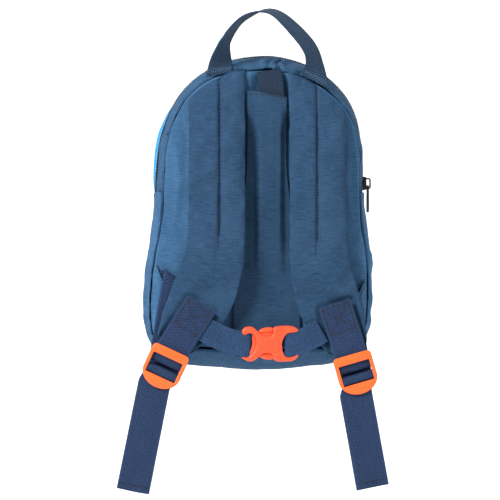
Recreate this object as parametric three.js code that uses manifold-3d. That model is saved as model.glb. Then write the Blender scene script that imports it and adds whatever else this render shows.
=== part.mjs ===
// A toddler's backpack, hanging by its grab handle and seen by the photograph from the wearer's side.
// Millimetres, +Z up, -Y towards the wearer. The origin is the underside of the handle's highest point.
import * as THREE from "three";
import { mergeVertices } from "three/addons/utils/BufferGeometryUtils.js";
import Module from "manifold-3d";

const wasm = await Module();
wasm.setup();

const Y = new THREE.Vector3(0, 1, 0);
const degrees = Math.PI / 180;

// Driving dimensions of the bag
const seamGap = 0.3; // between pieces that are sewn or seated together
const bagHalfWidth = 86; // the widest section, without the side pockets
const bagHeight = 248.4;
const bagDepth = 90; // from the back seam to the front seam
const bagShift = -3; // the bag hangs a little off the handle's middle
const footSway = 2.4; // and its foot swings this much further to the left
const topSway = 2.4; // and its top this much back to the right
const handleRise = 30.3; // from the handle's underside down to the top of the bag
const clothWall = 1.6;
const backPadding = 4;
const backDome = 3; // how far the stuffed back swells out of its seam
const frontDome = 8;
const widestShare = 0.47; // where along its depth the bag is widest
// How far the back and the front seam lie inside the widest outline
const backInset = { side: 6.5, sideLow: 3, top: 14.7, bottom: 18.7 };
const frontInset = { side: 9, sideLow: 7, top: 13, bottom: 14 };
const seamTilt = 0.055; // the top of the back seam drops this much to the right
const bulgePower = 2.2;

// Zip, pockets and back
const zipShare = 0.5; // the zip's middle, as a share of the depth
const zipWidth = 9;
const zipTape = 1.1;
const zipCoilWidth = 4.4;
const zipCoilRise = 1.1;
const pocketTop = 0.5625; // the hem's height, as a share of the bag's
const pocketFoot = 0.075;
const pocketWall = 1.1;
const pocketSlack = 3.4; // the widest room between the pocket and the bag
const hemClearance = 0.3;
const hemRoll = 0.6; // the thickness that the pocket's turned hem adds
const centrePanelWall = 2;
const centrePanelTop = 16.5; // below the back seam's top
const centrePanelHalfTop = 15;
const centrePanelHalfFoot = 26;
const centrePanelLift = 7; // how far its open hem stands off the back

// Webbing
const wideWebbing = { width: 25, thick: 1.4 };
const slimWebbing = { width: 19, thick: 1.2 };
const handleWebbing = { width: 20.5, thick: 1.6 };
const handleHalfSpan = 37.4;
const handleFootShare = 0.36; // the share of its rise over which it still follows the seam's slope
const webbingClearance = 0.2; // between webbing and the bar that it runs over
const lipClearance = 0.5; // between the tail and the lip in front of it
const sewnLength = 41; // from the lock's top edge up to the top of the sewn box
const adjustRoot = 8; // how far inside the side seam the webbing starts, under its tab
const adjustRise = 25; // degrees that it climbs inwards before it is folded over
const adjustFold = 14; // from its root to the fold
const tabWall = 1.2;
const tabReach = 10.5; // how far the tab's tip reaches in from the seam
const tabHem = 1.6;
const tabTipShare = 0.31; // how far down the tab its tip lies

// Padded shoulder straps
const strapTopSpacing = 38.4; // between the middle of the two straps and either
const strapShift = 0.8; // that middle, from the handle's
const strapThick = 8;
const strapEdge = 2.4;
const strapHalfWidth = 24; // at its widest
const strapStandOff = 11; // the room for an arm, between the strap and the back's seam plane
const strapSeamDepth = 1.5; // the sewn groove down the middle
const strapSeamEnd = 0.63; // as a share of the strap's length
const strapEndThick = 6;
const strapEndStandOff = 7.6;
const strapTipClearance = 1.5; // from the strap's tip to its ladder lock

// Ladder locks
const lockHalfWidth = 14.9;
const lockLength = 31;
const lockWindowTop = 7;
const lockWindowHalf = 12.8;
const lockPlate = 2.2;
const lockBar = { thick: 2.2, slim: 2.2, wide: 3.6 };
const lockUpperBar = 11; // below the lock's top edge, to the bar's middle
const lockLowerBar = 18.8;
const lockBarStep = 1.5; // how far the lower bar stands in front of the upper one
const lockLip = 8.4;

// The two sides differ because the straps hang differently: angles in degrees from straight down, outwards
const sides = {
  left: {
    sign: -1, strapTop: 1.5, tab: { top: 0.338, foot: 0.1 }, end: { across: 71.6, down: 259.2 },
    sewnAngle: 33, lockAngle: 25, tailAngle: 11.3, tailAside: 1.4, tailLength: 83, hemFold: 18,
    chestAngle: 30, chestFrom: { across: 48.4, down: 243.2 },
  },
  right: {
    sign: 1, strapTop: 1.5, tab: { top: 0.29, foot: 0.07 }, end: { across: 64.4, down: 263.1 },
    sewnAngle: 18, lockAngle: 16, tailAngle: 10.3, tailAside: -4.6, tailLength: 73, hemFold: 20,
    chestAngle: 30, chestFrom: { across: 42.4, down: 245 },
  },
};

// Side-release buckle
const buckleAt = { across: 2.6, down: 254.7 };
const buckleHalfLength = 21.8;
const buckleHalfHeight = 14;
const buckleThick = 8;
const buckleBarAt = { male: 16.4, female: 13.8 }; // from the buckle's middle
const buckleBar = 2.4;
const chestSag = 1.2; // how far below the buckle's middle the webbing meets it
const chestEndSlope = 0.02; // how steeply it arrives there
const chestReturn = 12; // how far the webbing runs back behind itself

// Zip slider and pull
const sliderLift = 0.034; // above the pocket's hem, as a share of the bag's height
const sliderLength = 10.5;
const sliderWidth = 8.4;
const sliderThick = 2.6;
const crownHalf = 4.4;
const crownRise = 3.8;
const crownWall = 1.2;
const crownWidth = 2;
const pullBar = 1.4;
const pullArm = 1.4;
const pullThick = 1.6;
const pullLength = 22;
const pullHalfWidth = 3.6;
const pullReach = 2.4; // from the crown's end to the blade, for the pull to swing past it

// Colours of the materials
const blueCloth = new THREE.MeshStandardMaterial({ color: 0x3c6290, roughness: 0.85 });
const lightCloth = new THREE.MeshStandardMaterial({ color: 0x3fa3dc, roughness: 0.85 });
const navyWebbing = new THREE.MeshStandardMaterial({ color: 0x2f4468, roughness: 0.8 });
const orangePlastic = new THREE.MeshStandardMaterial({ color: 0xff7a33, roughness: 0.45 });
const redOrangePlastic = new THREE.MeshStandardMaterial({ color: 0xfb5a2c, roughness: 0.4 });
const blackZip = new THREE.MeshStandardMaterial({ color: 0x16181d, roughness: 0.6 });
const darkMetal = new THREE.MeshStandardMaterial({ color: 0x26262a, roughness: 0.35, metalness: 0.9 });

const bag = new THREE.Group();

// Geometry helpers

// A closed surface from points and triangles, with its faces turned outwards.
function closedGeometry(points, triangles) {
  let volume = 0;
  const cross = new THREE.Vector3();
  for (const [a, b, c] of triangles) volume += points[a].dot(cross.crossVectors(points[b], points[c]));
  const faces = volume < 0 ? triangles.map(([a, b, c]) => [a, c, b]) : triangles;
  const geometry = new THREE.BufferGeometry().setFromPoints(points);
  geometry.setIndex(faces.flat());
  return geometry;
}

// Two triangles between four grid corners.
function quad(a, b, c, d) {
  return [[a, b, c], [a, c, d]];
}

// A solid through closed loops of points, with flat ends.
function loft(loops) {
  const n = loops[0].length;
  const points = loops.flat();
  const triangles = [];
  for (let i = 0; i + 1 < loops.length; i++) {
    for (let j = 0; j < n; j++) {
      const k = (j + 1) % n;
      triangles.push(...quad(i * n + j, i * n + k, (i + 1) * n + k, (i + 1) * n + j));
    }
  }
  const lastStart = points.length - n;
  const ends = [{ loop: loops[0], start: 0, turned: true }, { loop: loops.at(-1), start: lastStart }];
  for (const { loop, start, turned } of ends) {
    const middle = loop.reduce((sum, p) => sum.add(p), new THREE.Vector3()).divideScalar(n);
    points.push(middle);
    for (let j = 0; j < n; j++) {
      const edge = [start + j, start + ((j + 1) % n)];
      triangles.push([points.length - 1, ...(turned ? edge.reverse() : edge)]);
    }
  }
  return closedGeometry(points, triangles);
}

// A wall between an outer and an inner surface, each a function of two steps.
function wall(alongSteps, acrossSteps, outer, inner) {
  const points = [];
  const sheet = (alongSteps + 1) * (acrossSteps + 1);
  const index = (face, i, j) => face * sheet + i * (acrossSteps + 1) + j;
  for (const surface of [outer, inner]) {
    for (let i = 0; i <= alongSteps; i++) {
      for (let j = 0; j <= acrossSteps; j++) points.push(surface(i / alongSteps, j / acrossSteps));
    }
  }
  const triangles = [];
  for (let i = 0; i < alongSteps; i++) {
    for (let j = 0; j < acrossSteps; j++) {
      const corners = [index(0, i, j), index(0, i + 1, j), index(0, i + 1, j + 1), index(0, i, j + 1)];
      triangles.push(...quad(...corners));
      triangles.push(...quad(...corners.map((corner) => corner + sheet).reverse()));
    }
  }
  for (let i = 0; i < alongSteps; i++) {
    triangles.push(...quad(index(1, i, 0), index(1, i + 1, 0), index(0, i + 1, 0), index(0, i, 0)));
    const j = acrossSteps;
    triangles.push(...quad(index(0, i, j), index(0, i + 1, j), index(1, i + 1, j), index(1, i, j)));
  }
  for (let j = 0; j < acrossSteps; j++) {
    triangles.push(...quad(index(0, 0, j), index(0, 0, j + 1), index(1, 0, j + 1), index(1, 0, j)));
    const i = alongSteps;
    triangles.push(...quad(index(1, i, j), index(1, i, j + 1), index(0, i, j + 1), index(0, i, j)));
  }
  return closedGeometry(points, triangles);
}

// A flat-ended ribbon of webbing through stations, each with a place and the direction of its width.
function ribbon(stations, width, thick) {
  const loops = stations.map(({ at, across, stretch }, i) => {
    const before = stations[Math.max(i - 1, 0)].at;
    const after = stations[Math.min(i + 1, stations.length - 1)].at;
    const along = after.clone().sub(before).normalize();
    const wide = across.clone().addScaledVector(along, stretch ? 0 : -across.dot(along)).normalize();
    wide.multiplyScalar(stretch ?? 1);
    const face = along.clone().cross(wide).normalize();
    return [[1, 1], [-1, 1], [-1, -1], [1, -1]].map(([w, f]) =>
      at.clone().addScaledVector(wide, (w * width) / 2).addScaledVector(face, (f * thick) / 2));
  });
  return loft(loops);
}

// A route with rounded corners. Each corner has a place, the width's direction there and a rounding radius.
function roundedRoute(corners, stepAngle = 30 * degrees) {
  const stations = [{ ...corners[0] }];
  for (let i = 1; i + 1 < corners.length; i++) {
    const { at, across, stretch, round = 0 } = corners[i];
    const back = corners[i - 1].at.clone().sub(at);
    const on = corners[i + 1].at.clone().sub(at);
    const bend = Math.PI - back.angleTo(on);
    const reach = Math.min(round * Math.tan(bend / 2), back.length() * 0.49, on.length() * 0.49);
    if (reach < 1e-3) {
      stations.push({ at, across, stretch });
      continue;
    }
    const radius = reach / Math.tan(bend / 2);
    const from = at.clone().addScaledVector(back.normalize(), reach);
    const to = at.clone().addScaledVector(on.normalize(), reach);
    const middle = from.clone().add(to).multiplyScalar(0.5);
    const centre = at.clone().lerp(middle, Math.hypot(radius, reach) / at.distanceTo(middle));
    const arm = from.clone().sub(centre);
    const axis = arm.clone().cross(to.clone().sub(centre)).normalize();
    const steps = Math.max(1, Math.ceil(bend / stepAngle));
    for (let k = 0; k <= steps; k++) {
      const turned = arm.clone().applyAxisAngle(axis, (bend * k) / steps);
      stations.push({ at: centre.clone().add(turned), across, stretch });
    }
  }
  return [...stations, corners.at(-1)];
}

function toSolid(geometry) {
  const bare = geometry.index ? geometry.toNonIndexed() : geometry.clone();
  const loose = new THREE.BufferGeometry().setAttribute("position", bare.getAttribute("position"));
  const merged = mergeVertices(loose, 1e-4);
  const vertProperties = merged.attributes.position.array;
  const triVerts = new Uint32Array(merged.index.array);
  return new wasm.Manifold(new wasm.Mesh({ numProp: 3, vertProperties, triVerts }));
}

function toGeometry(solid) {
  const { vertProperties, triVerts } = solid.getMesh();
  const geometry = new THREE.BufferGeometry();
  geometry.setAttribute("position", new THREE.BufferAttribute(vertProperties, 3));
  geometry.setIndex(new THREE.BufferAttribute(triVerts, 1));
  return geometry;
}

function join(...geometries) {
  return toGeometry(geometries.map(toSolid).reduce((whole, piece) => whole.add(piece)));
}

function box(width, depth, height, x = 0, y = 0, z = 0) {
  return new THREE.BoxGeometry(width, depth, height).translate(x, y, z);
}

// A bar along X with its edges cut off.
function rod(length, deep, high) {
  const [y, z] = [deep / 2, high / 2];
  const edge = 0.29 * Math.min(deep, high);
  const shape = new THREE.Shape([
    [y, z - edge], [y - edge, z], [-y + edge, z], [-y, z - edge],
    [-y, -z + edge], [-y + edge, -z], [y - edge, -z], [y, -z + edge],
  ].map(([a, b]) => new THREE.Vector2(-b, a)));
  const geometry = new THREE.ExtrudeGeometry(shape, { depth: length, bevelEnabled: false });
  return geometry.translate(0, 0, -length / 2).rotateY(Math.PI / 2);
}

// A flat outline in X and Z, thickened along Y from the plane at y, on both sides of it.
function plate(shape, thick, y = 0, curveSegments = 8) {
  const geometry = new THREE.ExtrudeGeometry(shape, { depth: thick, bevelEnabled: false, curveSegments });
  return geometry.rotateX(Math.PI / 2).translate(0, y + thick / 2, 0);
}

function addMesh(parent, name, geometry, material) {
  const mesh = new THREE.Mesh(geometry, material);
  mesh.name = name;
  parent.add(mesh);
  return mesh;
}

const smooth = (low, high, value) => THREE.MathUtils.smoothstep(value, low, high);
const mix = THREE.MathUtils.lerp;

// A smooth reader of a table of rows by its column key: it gives the other columns' values at a place.
function smoothTable(rows, key) {
  const columns = Object.keys(rows[0]).filter((column) => column !== key);
  const values = rows.flatMap((row) => columns.map((column) => row[column]));
  const curve = new THREE.CubicInterpolant(rows.map((row) => row[key]), values, columns.length);
  return (place) => {
    const found = curve.evaluate(place);
    return Object.fromEntries(columns.map((column, i) => [column, found[i]]));
  };
}

// The bag's body

// The widest outline, from the bottom's middle up one side: shares of the half width and of the height.
const outlineRows = [
  { across: 0, up: 0 },
  { across: 0.36, up: 0.004 },
  { across: 0.68, up: 0.016 },
  { across: 0.88, up: 0.042 },
  { across: 0.965, up: 0.085 },
  { across: 0.995, up: 0.15 },
  { across: 1, up: 0.24 },
  { across: 0.983, up: 0.36 },
  { across: 0.955, up: 0.5 },
  { across: 0.945, up: 0.65 },
  { across: 0.9, up: 0.765 },
  { across: 0.79, up: 0.86 },
  { across: 0.62, up: 0.927 },
  { across: 0.42, up: 0.97 },
  { across: 0.2, up: 0.994 },
  { across: 0, up: 1 },
];
const bagTop = -handleRise;
const bagFoot = bagTop - bagHeight;
const onOutline = ({ across, up }, sign) =>
  new THREE.Vector3(sign * across * bagHalfWidth, 0, bagFoot + up * bagHeight);
const outline = new THREE.CatmullRomCurve3([
  ...outlineRows.map((row) => onOutline(row, 1)),
  ...outlineRows.slice(1, -1).reverse().map((row) => onOutline(row, -1)),
], true, "centripetal");
outline.arcLengthDivisions = 600;

// Hollows and swellings of the slack cloth: where they lie, how far they spread and how high they rise.
const clothFolds = [
  { around: 0.515, along: 0.22, wide: 0.012, long: 0.2, rise: -2.2 },
  { around: 0.492, along: 0.25, wide: 0.014, long: 0.22, rise: 1.4 },
  { around: 0.29, along: 0.3, wide: 0.02, long: 0.25, rise: -1.5 },
  { around: 0.345, along: 0.35, wide: 0.02, long: 0.3, rise: -1.2 },
  { around: 0.655, along: 0.35, wide: 0.02, long: 0.3, rise: 0.9 },
  { around: 0.135, along: 0.2, wide: 0.02, long: 0.25, rise: -1.6 },
  { around: 0.865, along: 0.25, wide: 0.02, long: 0.25, rise: -1.4 },
  { around: 0.06, along: 0.25, wide: 0.02, long: 0.2, rise: -1.4 },
  { around: 0.95, along: 0.22, wide: 0.018, long: 0.2, rise: -1.8 },
];

function foldAt(u, t) {
  return clothFolds.reduce((sum, { around, along, wide, long, rise }) => {
    const off = Math.abs(u - around);
    const far = Math.min(off, 1 - off) / wide;
    return sum + rise * Math.exp(-far * far - ((t - along) / long) ** 2);
  }, 0);
}

// A point of the bag's side wall: round the outline from the bottom's middle, and along the depth.
function bodyPoint(around, t, outwards = 0) {
  const u = ((around % 1) + 1) % 1;
  const at = outline.getPointAt(u);
  const along = outline.getTangentAt(u);
  const out = new THREE.Vector3(along.z, 0, -along.x);
  const inset = t < widestShare ? backInset : frontInset;
  const share = t < widestShare ? 1 - t / widestShare : (t - widestShare) / (1 - widestShare);
  const end = out.z > 0 ? inset.top : inset.bottom;
  const height = (at.z - bagFoot) / bagHeight;
  const side = mix(inset.sideLow, inset.side, smooth(0.32, 0.5, height));
  const depth = (side * out.x ** 2 + end * out.z ** 2) * share ** bulgePower;
  at.addScaledVector(out, outwards - depth + foldAt(u, t));
  at.z -= t < widestShare ? seamTilt * at.x * share * smooth(0.5, 1, height) : 0;
  const sway = footSway * (1 - smooth(0.1, 0.5, height)) - topSway * smooth(0.55, 0.85, height);
  return at.add(new THREE.Vector3(bagShift - sway, t * bagDepth, 0));
}

// How far round the outline a height on the right side lies.
function aroundAt(up) {
  const height = bagFoot + up * bagHeight;
  let low = 0.02;
  let high = 0.5;
  for (let i = 0; i < 40; i++) {
    const middle = (low + high) / 2;
    if (outline.getPointAt(middle).z < height) low = middle;
    else high = middle;
  }
  return low;
}

// The height of the back seam's top over a place across the bag.
const seamSamples = Array.from({ length: 401 }, (_, i) => bodyPoint(0.25 + i / 800, 0));
function seamTopAt(x) {
  const i = seamSamples.findIndex((p) => p.x < x);
  if (i <= 0) return seamSamples[0].z;
  const [a, b] = [seamSamples[i - 1], seamSamples[i]];
  return mix(a.z, b.z, (x - a.x) / (b.x - a.x));
}

// How far the stuffed back stands out of the seam plane, towards the wearer.
function backSwell(x, z) {
  const across = (x - bagShift) / bagHalfWidth;
  const middle = (bagTop + bagFoot) / 2;
  const up = (z - middle) / (bagHeight / 2);
  return backDome * Math.max(0, 1 - across * across * 1.15) * Math.max(0, 1 - up * up * 1.25);
}

const backEdge = (backPadding + seamGap) / bagDepth;
const frontEdge = 1 - (clothWall + seamGap) / bagDepth;
const zipEdge = (zipWidth / 2 + seamGap) / bagDepth;
const pocketTopAt = aroundAt(pocketTop);
const outlineLength = outline.getLength();
const gapAround = seamGap / outlineLength;
const stripSteps = 42;
const lowerSteps = 38;

function gussetStrip(fromAround, toAround, fromDepth, toDepth, alongSteps, acrossSteps) {
  const surface = (outwards) => (i, j) =>
    bodyPoint(mix(fromAround, toAround, i), mix(fromDepth, toDepth, j), outwards);
  return wall(alongSteps, acrossSteps, surface(0), surface(-clothWall));
}

function buildGussets() {
  const [low, high] = [pocketTopAt + gapAround, 1 - pocketTopAt - gapAround];
  const [beforeZip, afterZip] = [zipShare - zipEdge, zipShare + zipEdge];
  const lower = gussetStrip(-pocketTopAt, pocketTopAt, backEdge, frontEdge, lowerSteps, 6);
  addMesh(bag, "rear_gusset", gussetStrip(low, high, backEdge, beforeZip, stripSteps, 4), blueCloth);
  addMesh(bag, "front_gusset", gussetStrip(low, high, afterZip, frontEdge, stripSteps, 4), lightCloth);
  addMesh(bag, "lower_gusset", lower, blueCloth);
}

// The closed zip: two tapes with the coil standing out along the middle.
function buildZip() {
  const halfTape = zipWidth / 2;
  const halfCoil = zipCoilWidth / 2;
  const section = [
    [-halfTape, 0], [-halfCoil, 0], [-halfCoil * 0.6, zipCoilRise], [halfCoil * 0.6, zipCoilRise],
    [halfCoil, 0], [halfTape, 0], [halfTape, -zipTape], [-halfTape, -zipTape],
  ];
  const loops = [];
  for (let i = 0; i <= stripSteps; i++) {
    const around = mix(pocketTopAt + gapAround, 1 - pocketTopAt - gapAround, i / stripSteps);
    loops.push(section.map(([y, rise]) => bodyPoint(around, zipShare + y / bagDepth, rise - 0.2)));
  }
  addMesh(bag, "main_zip", loft(loops), blackZip);
}

// The back and front panels close the ring of side walls, each swelling out of its seam.
const panelRings = [0.35, 0.65, 0.88, 1];
const panelSpokes = 52;

function panel(depthShare, thick, swell, direction) {
  const rim = Array.from({ length: panelSpokes }, (_, k) => bodyPoint(k / panelSpokes, depthShare));
  const middle = new THREE.Vector3(bagShift, depthShare * bagDepth, (bagTop + bagFoot) / 2);
  const points = [];
  const triangles = [];
  for (const inside of [0, 1]) {
    const shift = (p) => {
      const at = p.clone();
      at.y += direction * (swell(at.x, at.z) - inside * thick);
      return at;
    };
    const start = points.length;
    points.push(shift(middle));
    for (const ring of panelRings) points.push(...rim.map((p) => shift(middle.clone().lerp(p, ring))));
    const at = (ring, k) => start + 1 + ring * panelSpokes + (k % panelSpokes);
    for (let k = 0; k < panelSpokes; k++) {
      const faces = [[start, at(0, k), at(0, k + 1)]];
      for (let r = 0; r + 1 < panelRings.length; r++) {
        faces.push(...quad(at(r, k), at(r + 1, k), at(r + 1, k + 1), at(r, k + 1)));
      }
      triangles.push(...(inside ? faces.map(([a, b, c]) => [a, c, b]) : faces));
    }
  }
  const sheet = 1 + panelRings.length * panelSpokes;
  const last = sheet - panelSpokes;
  for (let k = 0; k < panelSpokes; k++) {
    const next = (k + 1) % panelSpokes;
    triangles.push(...quad(last + k, sheet + last + k, sheet + last + next, last + next));
  }
  return closedGeometry(points, triangles);
}

function frontSwell(x, z) {
  const across = (x - bagShift) / bagHalfWidth;
  const up = (z - (bagTop + bagFoot) / 2) / (bagHeight / 2);
  return frontDome * Math.max(0, 1 - across * across * 1.2) ** 0.8 * Math.max(0, 1 - up * up * 1.2) ** 0.8;
}

function buildPanels() {
  addMesh(bag, "back_panel", panel(0, backPadding, backSwell, -1), blueCloth);
  addMesh(bag, "front_panel", panel(1, clothWall, frontSwell, 1), lightCloth);
}

// A side pocket, snug at its hem and at its sewn edges, and slack between them.
function buildPocket(name, sign) {
  const [foot, top] = [aroundAt(pocketFoot), pocketTopAt];
  const [near, far] = [0.07, 0.93];
  const room = (i, j) => {
    const belly = Math.sin(Math.PI * i ** 0.62);
    const edges = Math.sin(Math.PI * mix(0.06, 0.94, j)) ** 0.6;
    const hem = smooth(0.9, 1, i) * hemClearance;
    return seamGap + (pocketSlack * belly + hem) * edges;
  };
  const hemThick = (i) => hemRoll * smooth(0.93, 0.97, i);
  const surface = (thick) => (i, j) => {
    const around = mix(foot, top, i);
    const outwards = room(i, j) + thick + (thick ? hemThick(i) : 0);
    return bodyPoint(sign > 0 ? around : 1 - around, mix(near, far, j), outwards);
  };
  addMesh(bag, name, wall(16, 7, surface(pocketWall), surface(0)), blueCloth);
}

// The panel down the middle of the back, whose top hem stands open.
function buildCentrePanel() {
  const top = seamTopAt(0) - centrePanelTop;
  const foot = bodyPoint(0, 0).z + 2;
  const surface = (outwards) => (i, j) => {
    const z = mix(top, foot, i);
    const half = mix(centrePanelHalfTop, centrePanelHalfFoot, smooth(0.25, 0.75, i));
    const tilt = -0.09 * (1 - smooth(0, 0.2, i));
    const x = strapShift + mix(-half, half, j);
    const lift = centrePanelLift * (1 - smooth(0, 0.25, i)) * Math.sin(Math.PI * mix(0.25, 0.75, j));
    const at = new THREE.Vector3(x, 0, z + tilt * x);
    at.y = -backSwell(at.x, at.z) - seamGap - 0.2 - lift - outwards;
    return at;
  };
  addMesh(bag, "centre_panel", wall(18, 6, surface(centrePanelWall), surface(0)), blueCloth);
}

// Short webbing from the top seam down behind the centre panel's hem.
function buildCentreWebbing() {
  const rows = [
    { down: 0, out: 0.6 }, { down: 0.12, out: 2.6 }, { down: 0.45, out: 3.6 }, { down: 0.8, out: 2.6 },
    { down: 1, out: 1.8 },
  ];
  const start = { x: 2.6, z: seamTopAt(2.6) - 0.6 };
  const end = { x: 6.2, z: seamTopAt(0) - centrePanelTop - 14 };
  const points = rows.map(({ down, out }) => {
    const [x, z] = [mix(start.x, end.x, down), mix(start.z, end.z, down)];
    return new THREE.Vector3(x, -backSwell(x, z) - out - slimWebbing.thick / 2, z);
  });
  const line = new THREE.CatmullRomCurve3(points, false, "centripetal");
  const across = new THREE.Vector3(1, 0, 0.14).normalize();
  const stations = line.getSpacedPoints(10).map((at) => ({ at, across }));
  addMesh(bag, "centre_webbing", ribbon(stations, slimWebbing.width, slimWebbing.thick), navyWebbing);
}

buildGussets();
buildZip();
buildPanels();
buildPocket("side_pocket_left", -1);
buildPocket("side_pocket_right", 1);
buildCentrePanel();
buildCentreWebbing();

// The grab handle

// Shares of the half span and of the rise from foot to top, and how far the width turns to the depth.
const handleRows = [
  { across: -0.96, rise: 0, turn: 4 },
  { across: -0.935, rise: 0.13, turn: 22 },
  { across: -0.91, rise: 0.24, turn: 38 },
  { across: -0.885, rise: 0.34, turn: 53 },
  { across: -0.86, rise: 0.44, turn: 63 },
  { across: -0.81, rise: 0.54, turn: 73 },
  { across: -0.735, rise: 0.64, turn: 76 },
  { across: -0.635, rise: 0.74, turn: 80 },
  { across: -0.5, rise: 0.85, turn: 84 },
  { across: -0.28, rise: 0.945, turn: 90 },
  { across: 0, rise: 1, turn: 104 },
  { across: 0.22, rise: 0.965, turn: 114 },
  { across: 0.41, rise: 0.865, turn: 120 },
  { across: 0.58, rise: 0.755, turn: 123 },
  { across: 0.715, rise: 0.66, turn: 125 },
  { across: 0.835, rise: 0.565, turn: 127 },
  { across: 0.925, rise: 0.47, turn: 128 },
  { across: 0.985, rise: 0.375, turn: 128 },
  { across: 1.01, rise: 0.28, turn: 132 },
  { across: 1.03, rise: 0.18, turn: 142 },
  { across: 1.038, rise: 0, turn: 176 },
];

function buildHandle() {
  const half = handleWebbing.width / 2;
  const footOn = ({ across }) => {
    const x = across * handleHalfSpan;
    const slope = (seamTopAt(x + half) - seamTopAt(x - half)) / (2 * half);
    return { z: seamTopAt(x) + seamGap + handleWebbing.thick / 2, slope };
  };
  const feet = [footOn(handleRows[0]), footOn(handleRows.at(-1))];
  const summit = handleWebbing.thick / 2;
  const places = handleRows.map(({ across, rise }) =>
    new THREE.Vector3(across * handleHalfSpan, 0, mix(feet[across < 0 ? 0 : 1].z, summit, rise)));
  const line = new THREE.CatmullRomCurve3(places, false, "centripetal");
  const steps = 48;
  const stations = [];
  for (let i = 0; i <= steps; i++) {
    const along = line.getTangent(i / steps);
    const row = (i / steps) * (handleRows.length - 1);
    const [low, high] = [handleRows[Math.floor(row)], handleRows[Math.ceil(row)]];
    const turn = mix(low.turn, high.turn, row % 1) * degrees;
    const flat = new THREE.Vector3(along.z, 0, -along.x);
    const across = flat.multiplyScalar(Math.cos(turn)).addScaledVector(Y, Math.sin(turn));
    const nearFoot = 1 - smooth(0, handleFootShare, mix(low.rise, high.rise, row % 1));
    across.z += across.x * feet[low.across < 0 ? 0 : 1].slope * nearFoot;
    stations.push({ at: line.getPoint(i / steps), across, stretch: 1 });
  }
  addMesh(bag, "grab_handle", ribbon(stations, handleWebbing.width, handleWebbing.thick), navyWebbing);
}

buildHandle();

// Shoulder straps

// Down the strap: its half width as a share of the widest, how far it has swung out to its end, how far
// it has risen off the back and filled out below its seam, and how far it has flattened to its end.
const strapRows = [
  { down: 0, half: 0.93, swing: 0, rise: 0.1, fill: 0.3, flat: 0 },
  { down: 0.06, half: 0.91, swing: 0, rise: 0.24, fill: 0.8, flat: 0 },
  { down: 0.16, half: 0.89, swing: 0, rise: 0.62, fill: 1, flat: 0 },
  { down: 0.32, half: 0.89, swing: 0, rise: 0.94, fill: 1, flat: 0 },
  { down: 0.48, half: 0.9, swing: 0, rise: 1, fill: 1, flat: 0 },
  { down: 0.6, half: 0.92, swing: 0.02, rise: 1, fill: 1, flat: 0 },
  { down: 0.69, half: 0.96, swing: 0.09, rise: 1, fill: 1, flat: 0.3 },
  { down: 0.77, half: 1, swing: 0.24, rise: 1, fill: 1, flat: 0.75 },
  { down: 0.83, half: 1, swing: 0.4, rise: 1, fill: 1, flat: 1 },
  { down: 0.91, half: 0.88, swing: 0.67, rise: 1, fill: 1, flat: 1 },
  { down: 1, half: 0.6, swing: 1, rise: 1, fill: 1, flat: 1 },
];
const strapAt = smoothTable(strapRows, "down");

// Across the front of the padding: shares of the half width and of the half thickness.
const paddingRows = [
  { across: -1, deep: 0 },
  { across: -0.86, deep: 0.72 },
  { across: -0.45, deep: 1 },
  { across: -0.09, deep: 0.94 },
  { across: 0, deep: 1, groove: 1 },
  { across: 0.09, deep: 0.94 },
  { across: 0.45, deep: 1 },
  { across: 0.86, deep: 0.72 },
  { across: 1, deep: 0 },
];

// Levels in front of the back's seam plane, where webbing and plastic are stacked on the strap's end
const strapFace = strapEndStandOff + strapEndThick;
const chestLevel = strapFace + seamGap + slimWebbing.thick / 2;
const sewnLevel = chestLevel + (slimWebbing.thick + wideWebbing.thick) / 2 + seamGap;
const lockFaceLevel = sewnLevel + (wideWebbing.thick + lockPlate) / 2 + seamGap;
const barReach = (wideWebbing.thick + lockBar.thick) / 2 + webbingClearance;
const upperBarLevel = sewnLevel - barReach;
const returnLevel = upperBarLevel - barReach;
const lowerBarLevel = upperBarLevel + lockBarStep;
const overLowerLevel = lowerBarLevel + barReach;
const tailLevel = lockFaceLevel - (lockPlate + wideWebbing.thick) / 2 - lipClearance;
const adjustLevel = strapEndStandOff - seamGap - wideWebbing.thick / 2;

// The place and directions of a ladder lock: a point lies so far below its top edge, in front and aside.
function lockFrame({ sign, end, lockAngle }) {
  const turn = lockAngle * degrees;
  const top = new THREE.Vector3(sign * end.across, 0, -end.down);
  const across = new THREE.Vector3(Math.cos(turn), 0, sign * Math.sin(turn));
  const down = new THREE.Vector3(sign * Math.sin(turn), 0, -Math.cos(turn));
  const at = (below, level, aside = 0) =>
    top.clone().addScaledVector(down, below).addScaledVector(across, aside).setY(-level);
  return { across, down, at };
}

function strapSection(middle, across, half, thick, level, groove) {
  const row = ({ across: share, deep, groove: cut = 0 }, face) => {
    const edge = strapEdge / 2;
    const depth = edge + (thick / 2 - edge) * deep - cut * groove * (face > 0 ? 1 : 0);
    return middle.clone().addScaledVector(across, share * half).setY(-level - face * depth);
  };
  const front = paddingRows.map((each) => row(each, 1));
  const back = paddingRows.filter(({ groove: cut }) => !cut).reverse().map((each) => row(each, -1));
  return [...front, ...back];
}

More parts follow.
